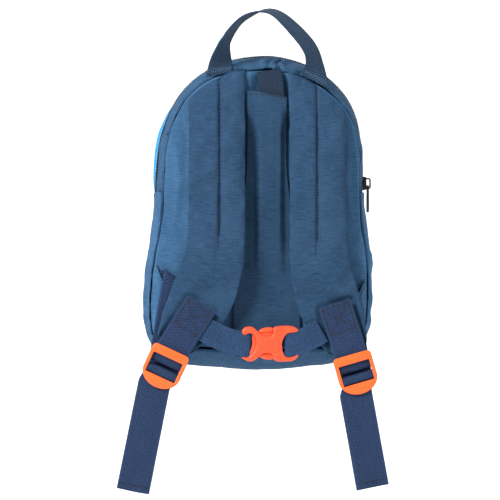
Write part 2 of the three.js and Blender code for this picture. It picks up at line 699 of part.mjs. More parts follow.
function buildStrap(name, side) {
  const { sign, strapTop } = side;
  const lock = lockFrame(side);
  const x = strapShift + sign * strapTopSpacing;
  const top = new THREE.Vector3(x, 0, seamTopAt(x) - strapTop);
  const tip = lock.at(-strapTipClearance, 0);
  const centre = (t) =>
    new THREE.Vector3(mix(top.x, tip.x, strapAt(t).swing), 0, mix(top.z, tip.z, t));
  const steps = 24;
  const loops = [];
  for (let i = 0; i <= steps; i++) {
    const t = i / steps;
    const row = strapAt(t);
    const along = centre(Math.min(1, t + 0.02)).sub(centre(Math.max(0, t - 0.02))).normalize();
    const across = new THREE.Vector3(-along.z, 0, along.x);
    across.lerp(lock.across, smooth(0.86, 1, t)).normalize();
    const thick = mix(strapThick, strapEndThick, row.flat) * row.fill;
    const standOff = mix(strapStandOff, strapEndStandOff, row.flat) * row.rise;
    const sewnUp = 1 - smooth(strapSeamEnd - 0.03, strapSeamEnd + 0.03, t);
    const groove = strapSeamDepth * sewnUp * row.fill;
    const half = row.half * strapHalfWidth;
    const loop = strapSection(centre(t), across, half, thick, standOff + thick / 2, groove);
    const sewn = 1 - smooth(0, 0.15, t);
    for (const p of loop) p.z += (seamTopAt(p.x) - seamTopAt(x)) * sewn;
    loops.push(loop);
  }
  addMesh(bag, name, loft(loops), blueCloth);
}

// Webbing from the strap's face, behind the lock's top bar, round its upper bar and back up behind it.
function buildSewnWebbing(name, side) {
  const lock = lockFrame(side);
  const turn = side.sewnAngle * degrees;
  const up = new THREE.Vector3(-side.sign * Math.sin(turn), 0, Math.cos(turn));
  const across = new THREE.Vector3(Math.cos(turn), 0, side.sign * Math.sin(turn));
  const below = lockUpperBar + (lockBar.slim + wideWebbing.thick) / 2 + webbingClearance;
  const round = (sewnLevel - returnLevel) / 2;
  const corners = [
    { at: lock.at(0, sewnLevel).addScaledVector(up, sewnLength), across },
    { at: lock.at(0, sewnLevel).addScaledVector(up, sewnLength * 0.12), across },
    { at: lock.at(lockUpperBar / 2, sewnLevel), across: lock.across },
    { at: lock.at(below, sewnLevel), across: lock.across, round },
    { at: lock.at(below, returnLevel), across: lock.across, round },
    { at: lock.at(-strapTipClearance + seamGap * 2, returnLevel), across: lock.across },
  ];
  addMesh(bag, name, ribbon(roundedRoute(corners), wideWebbing.width, wideWebbing.thick), navyWebbing);
}

// A ladder lock: a face plate with a window, rails behind it and two bars between them.
function buildLock(name, { sign, end, lockAngle }) {
  const corner = lockHalfWidth * 0.2;
  const lipTop = lockLength - lockLip;
  const shape = new THREE.Shape();
  shape.moveTo(-lockHalfWidth + corner, 0);
  shape.lineTo(lockHalfWidth - corner, 0);
  shape.quadraticCurveTo(lockHalfWidth, 0, lockHalfWidth, -corner);
  shape.lineTo(lockHalfWidth, -lipTop * 0.86);
  shape.bezierCurveTo(
    lockHalfWidth * 0.96, -lockLength * 0.86, lockHalfWidth * 0.5, -lockLength, 0, -lockLength);
  shape.bezierCurveTo(
    -lockHalfWidth * 0.5, -lockLength, -lockHalfWidth * 0.96, -lockLength * 0.86,
    -lockHalfWidth, -lipTop * 0.86);
  shape.lineTo(-lockHalfWidth, -corner);
  shape.quadraticCurveTo(-lockHalfWidth, 0, -lockHalfWidth + corner, 0);
  const window = new THREE.Path();
  window.moveTo(-lockWindowHalf, -lockWindowTop);
  window.lineTo(-lockWindowHalf, -lipTop);
  window.lineTo(lockWindowHalf, -lipTop);
  window.lineTo(lockWindowHalf, -lockWindowTop);
  window.closePath();
  shape.holes.push(window);
  const railWidth = lockHalfWidth - lockWindowHalf;
  const railBack = upperBarLevel - lockBar.thick / 2;
  const railDeep = lockFaceLevel - railBack;
  const railEnds = [lockWindowTop - lockBar.slim, lockLowerBar + lockBar.wide / 2];
  const railLong = railEnds[1] - railEnds[0];
  const railMiddle = -(railEnds[0] + railEnds[1]) / 2;
  const rail = (x) => box(railWidth * 0.9, railDeep, railLong, x, -railBack - railDeep / 2, railMiddle);
  const bar = (height, level, below) =>
    rod(2 * lockHalfWidth - railWidth, lockBar.thick, height).translate(0, -level, -below);
  const aside = lockHalfWidth - railWidth / 2;
  const mesh = addMesh(bag, name, join(
    plate(shape, lockPlate, -lockFaceLevel, 6), rail(-aside), rail(aside),
    bar(lockBar.slim, upperBarLevel, lockUpperBar), bar(lockBar.wide, lowerBarLevel, lockLowerBar),
  ), orangePlastic);
  mesh.rotation.y = -sign * lockAngle * degrees;
  mesh.position.set(sign * end.across, 0, -end.down);
}

// The place where a side's wing tab is sewn into the back seam, down from its top.
function tabRoot({ sign, tab }, share) {
  const around = aroundAt(mix(tab.top, tab.foot, share));
  return bodyPoint(sign > 0 ? around : 1 - around, 0);
}

// A tab of the bag's cloth in the side seam, over the root of the adjusting webbing.
function buildTab(name, side) {
  const lift = seamGap * 6 + wideWebbing.thick;
  const surface = (thick) => (i, j) => {
    const at = tabRoot(side, i);
    const shape = i < tabTipShare ? i / tabTipShare : 1 - (i - tabTipShare) / (1 - tabTipShare);
    at.x -= side.sign * mix(0.4, mix(tabHem, tabReach, shape), j);
    at.y = -backSwell(at.x, at.z) - seamGap - lift * smooth(0.05, 0.5, j) * smooth(0, 0.2, shape) - thick;
    return at;
  };
  addMesh(bag, name, wall(10, 4, surface(tabWall), surface(0)), blueCloth);
}

// Webbing from the side seam, folded over behind the strap, down through the lock and out as a free tail.
function buildAdjustWebbing(name, side) {
  const { sign, tailAngle, tailAside, tailLength, hemFold } = side;
  const lock = lockFrame(side);
  const root = tabRoot(side, tabTipShare);
  root.x -= sign * adjustRoot;
  root.y = -backSwell(root.x, root.z) - seamGap - wideWebbing.thick / 2;
  const rise = adjustRise * degrees;
  const inwards = new THREE.Vector3(-sign * Math.cos(rise), 0, Math.sin(rise));
  const fold = root.clone().addScaledVector(inwards, adjustFold);
  const half = wideWebbing.thick / 2;
  const foldLevels = [adjustLevel - 2 * half - 2 * seamGap, adjustLevel];
  const foldMiddle = (foldLevels[0] + foldLevels[1]) / 2;
  const above = lockLowerBar - lockBar.wide / 2 - webbingClearance - half;
  const under = lockLowerBar + lockBar.wide / 2 + webbingClearance + half;
  const intoLock = lock.at(above, 0);
  const down = intoLock.clone().sub(fold).setY(0).normalize();
  const crease = inwards.clone().add(down).normalize();
  const beyond = inwards.clone().sub(down).normalize();
  const stretch = 1 / Math.sin(inwards.angleTo(crease));
  const square = (along) => new THREE.Vector3(sign * along.z, 0, -sign * along.x);
  const creased = { across: crease, stretch };
  const round = 2 * half;
  const tailTurn = tailAngle * degrees;
  const tailDown = new THREE.Vector3(sign * Math.sin(tailTurn), 0, -Math.cos(tailTurn));
  const tailAcross = square(tailDown);
  const lockAcross = lock.across.clone().multiplyScalar(-sign);
  const tailFrom = lock.at(under + lockLip * 0.9, tailLevel, sign * tailAside);
  const tip = tailFrom.clone().addScaledVector(tailDown, tailLength);
  const hemGap = new THREE.Vector3(0, wideWebbing.thick + seamGap, 0);
  const inLock = roundedRoute([
    { at: fold.clone().setY(-adjustLevel).addScaledVector(down, adjustFold * 0.4), across: square(down) },
    { at: lock.at(above, adjustLevel), across: lockAcross, round },
    { at: lock.at(above, overLowerLevel), across: lockAcross, round },
    { at: lock.at(under, overLowerLevel), across: lockAcross, round },
    { at: lock.at(under, tailLevel), across: lockAcross, stretch: 1, round },
    { at: tailFrom, across: lockAcross.clone().lerp(tailAcross, 0.5), stretch: 1 },
    { at: tip, across: tailAcross, round: hemGap.y / 2 },
    { at: tip.clone().add(hemGap), across: tailAcross, round: hemGap.y / 2 },
    { at: tip.clone().add(hemGap).addScaledVector(tailDown, -hemFold), across: tailAcross },
  ]);
  const stations = [
    { at: root, across: square(inwards).negate() },
    { at: fold.clone().setY(-foldLevels[0]), ...creased },
    { at: fold.clone().setY(-foldMiddle).addScaledVector(beyond, 2 * half), ...creased },
    { at: fold.clone().setY(-foldLevels[1]), ...creased },
    ...inLock,
  ];
  addMesh(bag, name, ribbon(stations, wideWebbing.width, wideWebbing.thick), navyWebbing);
}

// Chest strap and its buckle

const buckleLevel = chestLevel - (slimWebbing.thick + buckleBar) / 2 - webbingClearance;

// Webbing from under the sewn box across to the buckle's bar, round it and a little way back.
function buildChestWebbing(name, { sign, chestAngle, chestFrom }, barAt) {
  const turn = chestAngle * degrees;
  const start = new THREE.Vector3(sign * chestFrom.across, -chestLevel, -chestFrom.down);
  const barX = buckleAt.across + sign * barAt;
  const bend = (buckleBar + slimWebbing.thick) / 2 + webbingClearance;
  const turnAt = new THREE.Vector3(barX - sign * bend, -chestLevel, -buckleAt.down - chestSag);
  const leave = new THREE.Vector3(-sign * Math.cos(turn), 0, -Math.sin(turn));
  const reach = start.distanceTo(turnAt);
  const line = new THREE.CubicBezierCurve3(
    start, start.clone().addScaledVector(leave, reach * 0.35),
    turnAt.clone().add(new THREE.Vector3(sign * reach * 0.35, 0, reach * chestEndSlope * 0.35)), turnAt);
  const square = (along) => new THREE.Vector3(-along.z, 0, along.x).multiplyScalar(-sign);
  const front = line.getSpacedPoints(10).slice(0, -1).map((at, i) => ({
    at, across: square(line.getTangentAt(i / 10)),
  }));
  const upright = square(new THREE.Vector3(-sign, 0, 0));
  const turnBack = turnAt.clone().add(new THREE.Vector3(0, 2 * bend, 0));
  const tip = turnBack.clone().add(new THREE.Vector3(sign * chestReturn, 0, chestReturn * chestEndSlope));
  const turned = roundedRoute([
    front.at(-1),
    { at: turnAt, across: upright, round: bend },
    { at: turnBack, across: upright, round: bend },
    { at: tip, across: upright },
  ]);
  const stations = [...front.slice(0, -1), ...turned];
  addMesh(bag, name, ribbon(stations, slimWebbing.width, slimWebbing.thick), navyWebbing);
}

// Half outlines of the buckle's two parts, above its middle line: shares of its half length and half height.
const maleRows = [
  { along: 0.08, up: 0.62 },
  { along: -0.42, up: 0.62 },
  { along: -0.55, up: 0.75 },
  { along: -0.64, up: 0.88 },
  { along: -0.74, up: 0.95 },
  { along: -0.88, up: 0.9 },
  { along: -0.97, up: 0.82 },
  { along: -1, up: 0.76, low: 0.82 },
  { along: -0.9, up: 0.75, low: 0.815 },
  { along: -0.66, up: 0.75, low: 0.815 },
  { along: -0.6, up: 0.7, low: 0.77 },
  { along: -0.57, up: 0.52, low: 0.6 },
  { along: -0.54, up: 0.3 },
  { along: -0.525, up: 0 },
];
const femaleRows = [
  { along: 0.095, up: 0.87 },
  { along: 0.15, up: 0.96 },
  { along: 0.33, up: 1 },
  { along: 0.65, up: 1 },
  { along: 0.8, up: 0.96 },
  { along: 0.91, up: 0.86, low: 0.92 },
  { along: 1, up: 0.78, low: 0.84 },
  { along: 0.86, up: 0.75, low: 0.815 },
  { along: 0.58, up: 0.75, low: 0.815 },
  { along: 0.5, up: 0.7, low: 0.78 },
  { along: 0.46, up: 0.45, low: 0.5 },
  { along: 0.42, up: 0.25 },
  { along: 0.4, up: 0 },
];
const prongRows = [
  { along: -0.46, up: 0.6 },
  { along: -0.42, up: 0.68 },
  { along: -0.3, up: 0.81 },
  { along: -0.1, up: 0.88 },
  { along: 0.08, up: 0.86 },
  { along: 0.08, up: 0.6 },
];

function outlineOf(rows, sidesUp) {
  const place = ({ along, up, low = up }, side) =>
    new THREE.Vector2(along * buckleHalfLength, side * (side > 0 ? up : low) * buckleHalfHeight);
  const halves = sidesUp.map((side, i) => {
    const half = rows.map((row) => place(row, side));
    return i ? half.reverse().slice(rows.at(-1).up === 0 ? 1 : 0) : half;
  });
  return new THREE.Shape(halves.flat());
}

function buildBuckle() {
  const seam = 0.095 * buckleHalfLength;
  const addPart = (name, ...solids) => {
    const mesh = addMesh(bag, name, join(...solids), redOrangePlastic);
    mesh.position.set(buckleAt.across, -buckleLevel, -buckleAt.down);
  };
  const barLong = 2 * 0.86 * buckleHalfHeight;
  const bar = (at) => rod(barLong, buckleBar, buckleBar).rotateY(Math.PI / 2).translate(at, 0, 0);
  const core = (from, to, high) => box(to - from, buckleThick, high, (from + to) / 2, 0, 0);
  const body = (rows) => plate(outlineOf(rows, [1, -1]), buckleThick * 0.72);
  const prong = (side) => plate(outlineOf(prongRows, [side]), buckleThick * 0.55);
  addPart("buckle_male", body(maleRows), bar(-buckleBarAt.male), prong(1), prong(-1),
    core(-0.46 * buckleHalfLength, seam - seamGap * 1.5, buckleHalfHeight));
  addPart("buckle_female", body(femaleRows), bar(buckleBarAt.female),
    core(seam, 0.36 * buckleHalfLength, buckleHalfHeight));
}

// Zip slider and its pull

// The slider rides on the coil of the zip's closed end, just above the right pocket's hem.
function buildSlider() {
  const around = aroundAt(pocketTop + sliderLift);
  const onCoil = bodyPoint(around, zipShare, 0);
  const out = bodyPoint(around, zipShare, 1).sub(onCoil).normalize();
  const base = zipCoilRise + seamGap;
  const bodyTop = base + sliderThick;
  const crownTop = bodyTop + crownRise;
  const half = sliderLength / 2;
  const plateShape = new THREE.Shape();
  plateShape.moveTo(base, -half);
  plateShape.lineTo(bodyTop - 0.6, -half);
  plateShape.lineTo(bodyTop, -half + 0.8);
  plateShape.lineTo(bodyTop, half - 0.8);
  plateShape.lineTo(bodyTop - 0.6, half);
  plateShape.lineTo(base, half);
  const crownShape = new THREE.Shape();
  crownShape.moveTo(bodyTop - 0.4, -crownHalf);
  crownShape.lineTo(crownTop - 1, -crownHalf);
  crownShape.lineTo(crownTop, -crownHalf + 1.2);
  crownShape.lineTo(crownTop, crownHalf - 1.2);
  crownShape.lineTo(crownTop - 1, crownHalf);
  crownShape.lineTo(bodyTop - 0.4, crownHalf);
  crownShape.lineTo(bodyTop - 0.4, crownHalf - crownWall);
  crownShape.lineTo(crownTop - crownWall, crownHalf - crownWall);
  crownShape.lineTo(crownTop - crownWall, -crownHalf + crownWall);
  crownShape.lineTo(bodyTop - 0.4, -crownHalf + crownWall);
  const mesh = addMesh(bag, "zip_slider", join(
    plate(plateShape, sliderWidth), plate(crownShape, crownWidth)), darkMetal);
  mesh.position.copy(onCoil);
  mesh.rotation.y = -Math.atan2(out.z, out.x);
  mesh.updateMatrix();
  const eyeAt = (bodyTop + crownTop - crownWall) / 2;
  const barDown = crownHalf - crownWall - pullBar / 2 - seamGap;
  return new THREE.Vector3(eyeAt, 0, -barDown).applyMatrix4(mesh.matrix);
}

// The pull: a bar through the crown, two arms past it and a plate below.
function buildPull(pivot) {
  const armLong = crownWall + pullBar + pullReach;
  const armAt = crownWidth / 2 + seamGap + pullArm / 2;
  const bar = new THREE.CylinderGeometry(pullBar / 2, pullBar / 2, 2 * armAt + pullArm, 10);
  const arm = (side) => box(pullThick, pullArm, armLong, 0, side * armAt, pullBar / 2 - armLong / 2);
  const plateLong = pullLength - armLong;
  const shape = new THREE.Shape();
  const top = pullBar / 2 - armLong + 0.3;
  shape.moveTo(-pullHalfWidth * 0.75, top);
  shape.lineTo(-pullHalfWidth, top - plateLong * 0.75);
  shape.quadraticCurveTo(-pullHalfWidth, top - plateLong, 0, top - plateLong);
  shape.quadraticCurveTo(pullHalfWidth, top - plateLong, pullHalfWidth, top - plateLong * 0.75);
  shape.lineTo(pullHalfWidth * 0.75, top);
  const blade = plate(shape, pullThick, 0, 4).rotateZ(Math.PI / 2);
  const mesh = addMesh(bag, "zip_pull_tab", join(bar, arm(1), arm(-1), blade), darkMetal);
  mesh.position.copy(pivot);
}

const barAt = { left: buckleBarAt.male, right: buckleBarAt.female };
for (const [word, side] of Object.entries(sides)) {
  buildStrap(`shoulder_strap_${word}`, side);
  buildSewnWebbing(`sewn_webbing_${word}`, side);
  buildLock(`ladder_lock_${word}`, side);
  buildTab(`wing_tab_${word}`, side);
  buildAdjustWebbing(`adjust_webbing_${word}`, side);
  buildChestWebbing(`chest_webbing_${word}`, side, barAt[word]);
}
buildBuckle();
buildPull(buildSlider());

export default bag;
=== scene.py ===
# Toddler's backpack hanging by its grab handle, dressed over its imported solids.
# Metres, +Z up, -Y towards the wearer. Sizes in the tables are in millimetres.
import bpy
import bisect
import bmesh
import math
from mathutils import Matrix, Vector, geometry, noise
from mathutils.bvhtree import BVHTree


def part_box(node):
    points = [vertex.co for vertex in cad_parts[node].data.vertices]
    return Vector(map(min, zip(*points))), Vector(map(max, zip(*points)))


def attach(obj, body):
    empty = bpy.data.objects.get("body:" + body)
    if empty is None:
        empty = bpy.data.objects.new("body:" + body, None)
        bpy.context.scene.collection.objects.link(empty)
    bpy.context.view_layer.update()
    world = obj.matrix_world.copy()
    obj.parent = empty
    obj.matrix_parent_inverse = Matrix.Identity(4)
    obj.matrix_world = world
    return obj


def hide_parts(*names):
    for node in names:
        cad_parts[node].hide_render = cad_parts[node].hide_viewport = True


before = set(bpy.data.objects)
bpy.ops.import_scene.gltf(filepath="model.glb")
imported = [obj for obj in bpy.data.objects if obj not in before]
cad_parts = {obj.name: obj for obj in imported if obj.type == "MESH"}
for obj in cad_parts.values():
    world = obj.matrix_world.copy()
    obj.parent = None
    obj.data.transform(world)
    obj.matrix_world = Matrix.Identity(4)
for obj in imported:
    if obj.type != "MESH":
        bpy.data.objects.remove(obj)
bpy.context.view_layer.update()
mm = 0.001
fullTurn = 6.2832
print("frame loaded")


def placed(name, data):
    item = bpy.data.objects.new(name, data)
    bpy.context.scene.collection.objects.link(item)
    return item


def setInputs(node, values):
    for label, value in values.items():
        node.inputs[label].default_value = value


def clamp(value):
    return min(1.0, max(0.0, value))


cameraLook = {"distance": 1.3, "turn": 2.0, "target": (-0.012, 0.0, -0.1836), "across": 0.385}


def placeCamera(look):
    turn = math.radians(look["turn"])
    ahead = Vector((math.sin(turn), math.cos(turn), 0))
    data = bpy.data.cameras.new("camera")
    camera = placed("camera", data)
    camera.location = Vector(look["target"]) - ahead * look["distance"]
    camera.rotation_euler = (math.radians(90), 0, -turn)
    data.angle = 2 * math.atan(look["across"] / 2 / look["distance"])
    data.clip_start = 0.05
    bpy.context.scene.camera = camera


lightTable = [
    {"name": "keyLight", "at": (-1.15, -1.2, 0.75), "size": 0.6, "power": 50},
    {"name": "fillLight", "at": (1.6, -0.75, 0.1), "size": 1.5, "power": 15},
    {"name": "topLight", "at": (0.0, 0.25, 1.2), "size": 1.0, "power": 4},
]
roomLook = {"aim": (-0.01, 0, -0.18), "asLight": 0.38, "asSeen": 1.0}


def placeLights():
    for row in lightTable:
        data = bpy.data.lights.new(row["name"], "AREA")
        data.size = row["size"]
        data.energy = row["power"]
        light = placed(row["name"], data)
        light.location = row["at"]
        aim = Vector(roomLook["aim"]) - light.location
        light.rotation_euler = aim.to_track_quat("-Z", "Y").to_euler()
    # A soft white room: dimmer as a light than it looks.
    world = bpy.data.worlds.new("studio")
    world.use_nodes = True
    tree = world.node_tree
    room = tree.nodes["Background"]
    room.inputs["Color"].default_value = (1, 1, 1, 1)
    seen = tree.nodes.new("ShaderNodeLightPath").outputs["Is Camera Ray"]
    level = tree.nodes.new("ShaderNodeMapRange")
    setInputs(level, {"To Min": roomLook["asLight"], "To Max": roomLook["asSeen"]})
    tree.links.new(seen, level.inputs["Value"])
    tree.links.new(level.outputs["Result"], room.inputs["Strength"])
    bpy.context.scene.world = world


class Wiring:
    # Small helpers for placing and joining nodes in one tree.
    def __init__(self, tree):
        self.tree = tree

    def link(self, source, target):
        self.tree.links.new(source, target)

    def feed(self, socket, value):
        if hasattr(value, "is_output"):
            self.link(value, socket)
        else:
            socket.default_value = value

    def math(self, kind, first, second=0.0, clamped=False):
        node = self.tree.nodes.new("ShaderNodeMath")
        node.operation = kind
        node.use_clamp = clamped
        self.feed(node.inputs[0], first)
        self.feed(node.inputs[1], second)
        return node.outputs[0]

    def mul(self, first, second):
        return self.math("MULTIPLY", first, second)

    def add(self, first, second, clamped=False):
        return self.math("ADD", first, second, clamped)

    def swing(self, value, share):
        # A value that lies around a half, made to swing about nothing.
        return self.mul(self.math("SUBTRACT", value, 0.5), share)

    def wave(self, value, pitch):
        return self.math("SINE", self.mul(value, self.math("DIVIDE", fullTurn, pitch)))

    def split(self, vector):
        node = self.tree.nodes.new("ShaderNodeSeparateXYZ")
        self.link(vector, node.inputs[0])
        return node.outputs

    def noise(self, vector, scale, detail=2.0, rough=0.5):
        node = self.tree.nodes.new("ShaderNodeTexNoise")
        self.link(vector, node.inputs["Vector"])
        for label, value in (("Scale", scale), ("Detail", detail), ("Roughness", rough)):
            self.feed(node.inputs[label], value)
        return node.outputs["Fac"]

    def noiseOn(self, u, v, across, along, seed, detail=2.0, rough=0.5):
        # Noise on the cloth, with a scale of its own across and along it.
        node = self.tree.nodes.new("ShaderNodeCombineXYZ")
        for socket, value in zip(node.inputs, (self.mul(u, across), self.mul(v, along), seed)):
            self.feed(socket, value)
        return self.noise(node.outputs[0], 1.0, detail, rough)

    def remap(self, value, low, high, toLow=0.0, toHigh=1.0):
        node = self.tree.nodes.new("ShaderNodeMapRange")
        self.feed(node.inputs["Value"], value)
        setInputs(node, {"From Min": low, "From Max": high, "To Min": toLow, "To Max": toHigh})
        return node.outputs["Result"]

    def mixColour(self, factor, first, second):
        node = self.tree.nodes.new("ShaderNodeMix")
        node.data_type = "RGBA"
        for index, value in ((0, factor), (6, first), (7, second)):
            self.feed(node.inputs[index], (*value, 1) if isinstance(value, tuple) else value)
        return node.outputs[2]


def newGroup(name, vector, floats, outputs):
    # A node group with one vector input, float inputs at their first values, and float outputs.
    group = bpy.data.node_groups.new(name, "ShaderNodeTree")
    group.interface.new_socket(name=vector, in_out="INPUT", socket_type="NodeSocketVector")
    for label, value in floats.items():
        group.interface.new_socket(name=label, in_out="INPUT", socket_type="NodeSocketFloat").default_value = value
    for label in outputs:
        group.interface.new_socket(name=label, in_out="OUTPUT", socket_type="NodeSocketFloat")
    return group, Wiring(group), group.nodes.new("NodeGroupInput").outputs, group.nodes.new("NodeGroupOutput").inputs


# Noise of the cloth: scale across and along, seed, and then detail and roughness where they aren't plain.
slubNoise = {"rows": (0.11, 1.5, 0.0, 3.0, 0.7), "columns": (1.5, 0.1, 7.0, 3.0, 0.7), "cloud": (0.03, 0.03, 3.0)}
slubShares = {"rows": 0.72, "columns": 0.28, "lines": 2.1, "over": 0.05, "cloud": 0.5,
              "overHeight": 0.35, "lineHeight": 1.2}


def buildSlubGroup():
    # Plain weave with thick and thin threads running both ways. Coordinates in millimetres.
    s = slubShares
    group, w, given, out = newGroup("slubWeave", "Threads", {"Pitch": 0.55, "Slub": 1.0}, ("Shade", "Height"))
    u, v, _ = w.split(given["Threads"])
    over = w.mul(w.wave(u, given["Pitch"]), w.wave(v, given["Pitch"]))
    rows, columns, cloud = (w.noiseOn(u, v, *slubNoise[kind]) for kind in ("rows", "columns", "cloud"))
    lines = w.swing(w.add(w.mul(rows, s["rows"]), w.mul(columns, s["columns"])), given["Slub"])
    shade = w.add(w.mul(lines, s["lines"]), w.mul(over, s["over"]))
    shade = w.add(shade, w.swing(cloud, s["cloud"]))
    w.link(w.add(shade, 0.5, True), out["Shade"])
    w.link(w.add(w.mul(over, s["overHeight"]), w.mul(lines, s["lineHeight"])), out["Height"])
    return group


twillNoise = {"jitter": (0.9, 0.5, 1.0, 3.0, 0.7), "cloud": (0.1, 0.05, 5.0)}
twillShares = {"slope": 0.85, "endPitch": 1.05, "plainPitch": 0.9, "selvedge": (0.86, 0.93), "rib": 0.7, "ends": 0.22,
               "plain": 0.6, "height": 0.6, "jitter": 0.9, "cloud": 0.3}


def buildTwillGroup():
    # Herringbone webbing: diagonal ribs that turn once in every wave, with a tight plain selvedge on each edge.
    s = twillShares
    group, w, given, out = newGroup("webbingTwill", "Strip", {"Rib": 1.5, "Half width": 12.5, "Waves": 6.0},
                                    ("Shade", "Height", "Selvedge"))
    u, v, _ = w.split(given["Strip"])
    fold = w.math("PINGPONG", w.add(u, w.mul(given["Waves"], 0.5)), given["Waves"])
    rib = w.wave(w.add(v, w.mul(fold, s["slope"])), given["Rib"])
    jitter, cloud = (w.noiseOn(u, v, *twillNoise[kind]) for kind in ("jitter", "cloud"))
    edge = w.math("DIVIDE", w.math("ABSOLUTE", u), given["Half width"])
    selvedge = w.remap(edge, *s["selvedge"])
    body = w.add(w.mul(rib, s["rib"]), w.mul(w.wave(u, s["endPitch"]), s["ends"]))
    plain = w.mul(w.wave(v, s["plainPitch"]), s["plain"])
    height = w.add(w.mul(body, w.math("SUBTRACT", 1.0, selvedge)), w.mul(plain, selvedge))
    shade = w.add(w.mul(height, s["height"]), w.swing(jitter, s["jitter"]))
    shade = w.add(shade, w.swing(cloud, s["cloud"]))
    w.link(w.add(shade, 0.5, True), out["Shade"])
    w.link(height, out["Height"])
    w.link(selvedge, out["Selvedge"])
    return group


# Scale, detail and roughness of each noise in object space; marks are remapped between the two levels.
mouldNoise = {"grain": (2.0, 0.6), "flow": (60.0, 3.0, 0.55), "marks": (420.0, 4.0, 0.7), "markLevels": (0.6, 0.75)}


def buildMouldGroup():
    # Moulded or cast surface: a fine grain, faint flow marks and scuffs.
    group, w, given, out = newGroup("mouldGrain", "Place", {"Grain": 2600.0, "Scuffs": 1.0},
                                    ("Shade", "Height", "Scuff"))
    place = given["Place"]
    grain = w.noise(place, given["Grain"], *mouldNoise["grain"])
    flow = w.noise(place, *mouldNoise["flow"])
    marks = w.remap(w.noise(place, *mouldNoise["marks"]), *mouldNoise["markLevels"])
    scuff = w.mul(marks, given["Scuffs"])
    w.link(w.add(w.mul(grain, 0.25), w.mul(flow, 0.75)), out["Shade"])
    w.link(w.add(grain, w.mul(scuff, 0.4)), out["Height"])
    w.link(scuff, out["Scuff"])
    return group


slubGroup = buildSlubGroup()
twillGroup = buildTwillGroup()
mouldGroup = buildMouldGroup()


def newMaterial(name):
    material = bpy.data.materials.new(name)
    material.use_nodes = True
    tree = material.node_tree
    return material, Wiring(tree), tree.nodes["Principled BSDF"]


def placeGroup(w, group, values):
    node = w.tree.nodes.new("ShaderNodeGroup")
    node.node_tree = group
    for label, value in values.items():
        w.feed(node.inputs[label], value)
    return node.outputs


def objectPlace(w):
    return w.tree.nodes.new("ShaderNodeTexCoord").outputs["Object"]


def uvInMillimetres(w):
    scale = w.tree.nodes.new("ShaderNodeVectorMath")
    scale.operation = "SCALE"
    w.link(w.tree.nodes.new("ShaderNodeTexCoord").outputs["UV"], scale.inputs[0])
    scale.inputs["Scale"].default_value = 1000.0
    return scale.outputs[0]


def dress(w, shader, colour, shade, rough, height, bump):
    # Joins colour, roughness and bump to the shader. Bump is its strength and its distance in metres.
    w.link(colour, shader.inputs["Base Color"])
    w.link(w.remap(shade, *rough), shader.inputs["Roughness"])
    node = w.tree.nodes.new("ShaderNodeBump")
    setInputs(node, {"Strength": bump[0], "Distance": bump[1]})
    w.link(height, node.inputs["Height"])
    w.link(node.outputs["Normal"], shader.inputs["Normal"])


clothLooks = {
    "backCloth": {"dark": (0.016, 0.057, 0.128), "light": (0.070, 0.172, 0.318), "slub": 1.0},
    "strapCloth": {"dark": (0.007, 0.025, 0.060), "light": (0.038, 0.090, 0.170), "slub": 1.1},
    "centreCloth": {"dark": (0.006, 0.023, 0.056), "light": (0.036, 0.086, 0.160), "slub": 1.0},
    # Painted shade: the side walls use the back's blue cloth made darker, standing in for the shade that falls on the
    # walls.
    "wallCloth": {"dark": (0.011, 0.040, 0.090), "light": (0.052, 0.130, 0.240), "slub": 1.0},
    "zipTapeCloth": {"dark": (0.003, 0.005, 0.010), "light": (0.014, 0.018, 0.028), "slub": 0.6},
    "brightCloth": {"dark": (0.045, 0.27, 0.58), "light": (0.085, 0.40, 0.78), "slub": 0.8},
}
clothFinish = {"pitch": 0.6, "rough": (0, 1, 0.9, 0.72), "bump": (0.55, 0.00022), "specular": 0.1}


def makeCloth(name, look):
    material, w, shader = newMaterial(name)
    f = clothFinish
    weave = placeGroup(w, slubGroup, {"Threads": uvInMillimetres(w), "Pitch": f["pitch"], "Slub": look["slub"]})
    colour = w.mixColour(weave["Shade"], look["dark"], look["light"])
    dress(w, shader, colour, weave["Shade"], f["rough"], weave["Height"], f["bump"])
    shader.inputs["Specular IOR Level"].default_value = f["specular"]
    return material


webbingLooks = {
    "strapWebbing": {"half": 12.5, "waves": 2.1, "rib": 1.4,
                     "dark": (0.001, 0.0035, 0.016), "light": (0.030, 0.066, 0.164), "edge": (0.021, 0.049, 0.125)},
    "chestWebbing": {"half": 9.5, "waves": 1.9, "rib": 1.5,
                     "dark": (0.001, 0.008, 0.034), "light": (0.034, 0.089, 0.197), "edge": (0.023, 0.060, 0.138)},
    # Painted shade: the centre loop's webbing is the handle's webbing made darker, standing in for the shadow between
    # the straps.
    "loopWebbing": {"half": 9.5, "waves": 21.0, "rib": 2.0,
                    "dark": (0.001, 0.004, 0.012), "light": (0.020, 0.046, 0.092), "edge": (0.010, 0.025, 0.052)},
    "handleWebbing": {"half": 10.25, "waves": 21.0, "rib": 2.0,
                      "dark": (0.002, 0.008, 0.024), "light": (0.038, 0.084, 0.158), "edge": (0.020, 0.046, 0.092)},
}
webbingFinish = {"rough": (0, 1, 0.8, 0.58), "bump": (0.8, 0.0003), "specular": 0.2, "edgeShare": 0.5}


def makeWebbing(name, look):
    material, w, shader = newMaterial(name)
    f = webbingFinish
    twill = placeGroup(w, twillGroup, {"Strip": uvInMillimetres(w), "Rib": look["rib"], "Half width": look["half"],
                                       "Waves": look["waves"]})
    colour = w.mixColour(twill["Shade"], look["dark"], look["light"])
    colour = w.mixColour(w.mul(twill["Selvedge"], f["edgeShare"]), colour, look["edge"])
    dress(w, shader, colour, twill["Shade"], f["rough"], twill["Height"], f["bump"])
    shader.inputs["Specular IOR Level"].default_value = f["specular"]
    return material


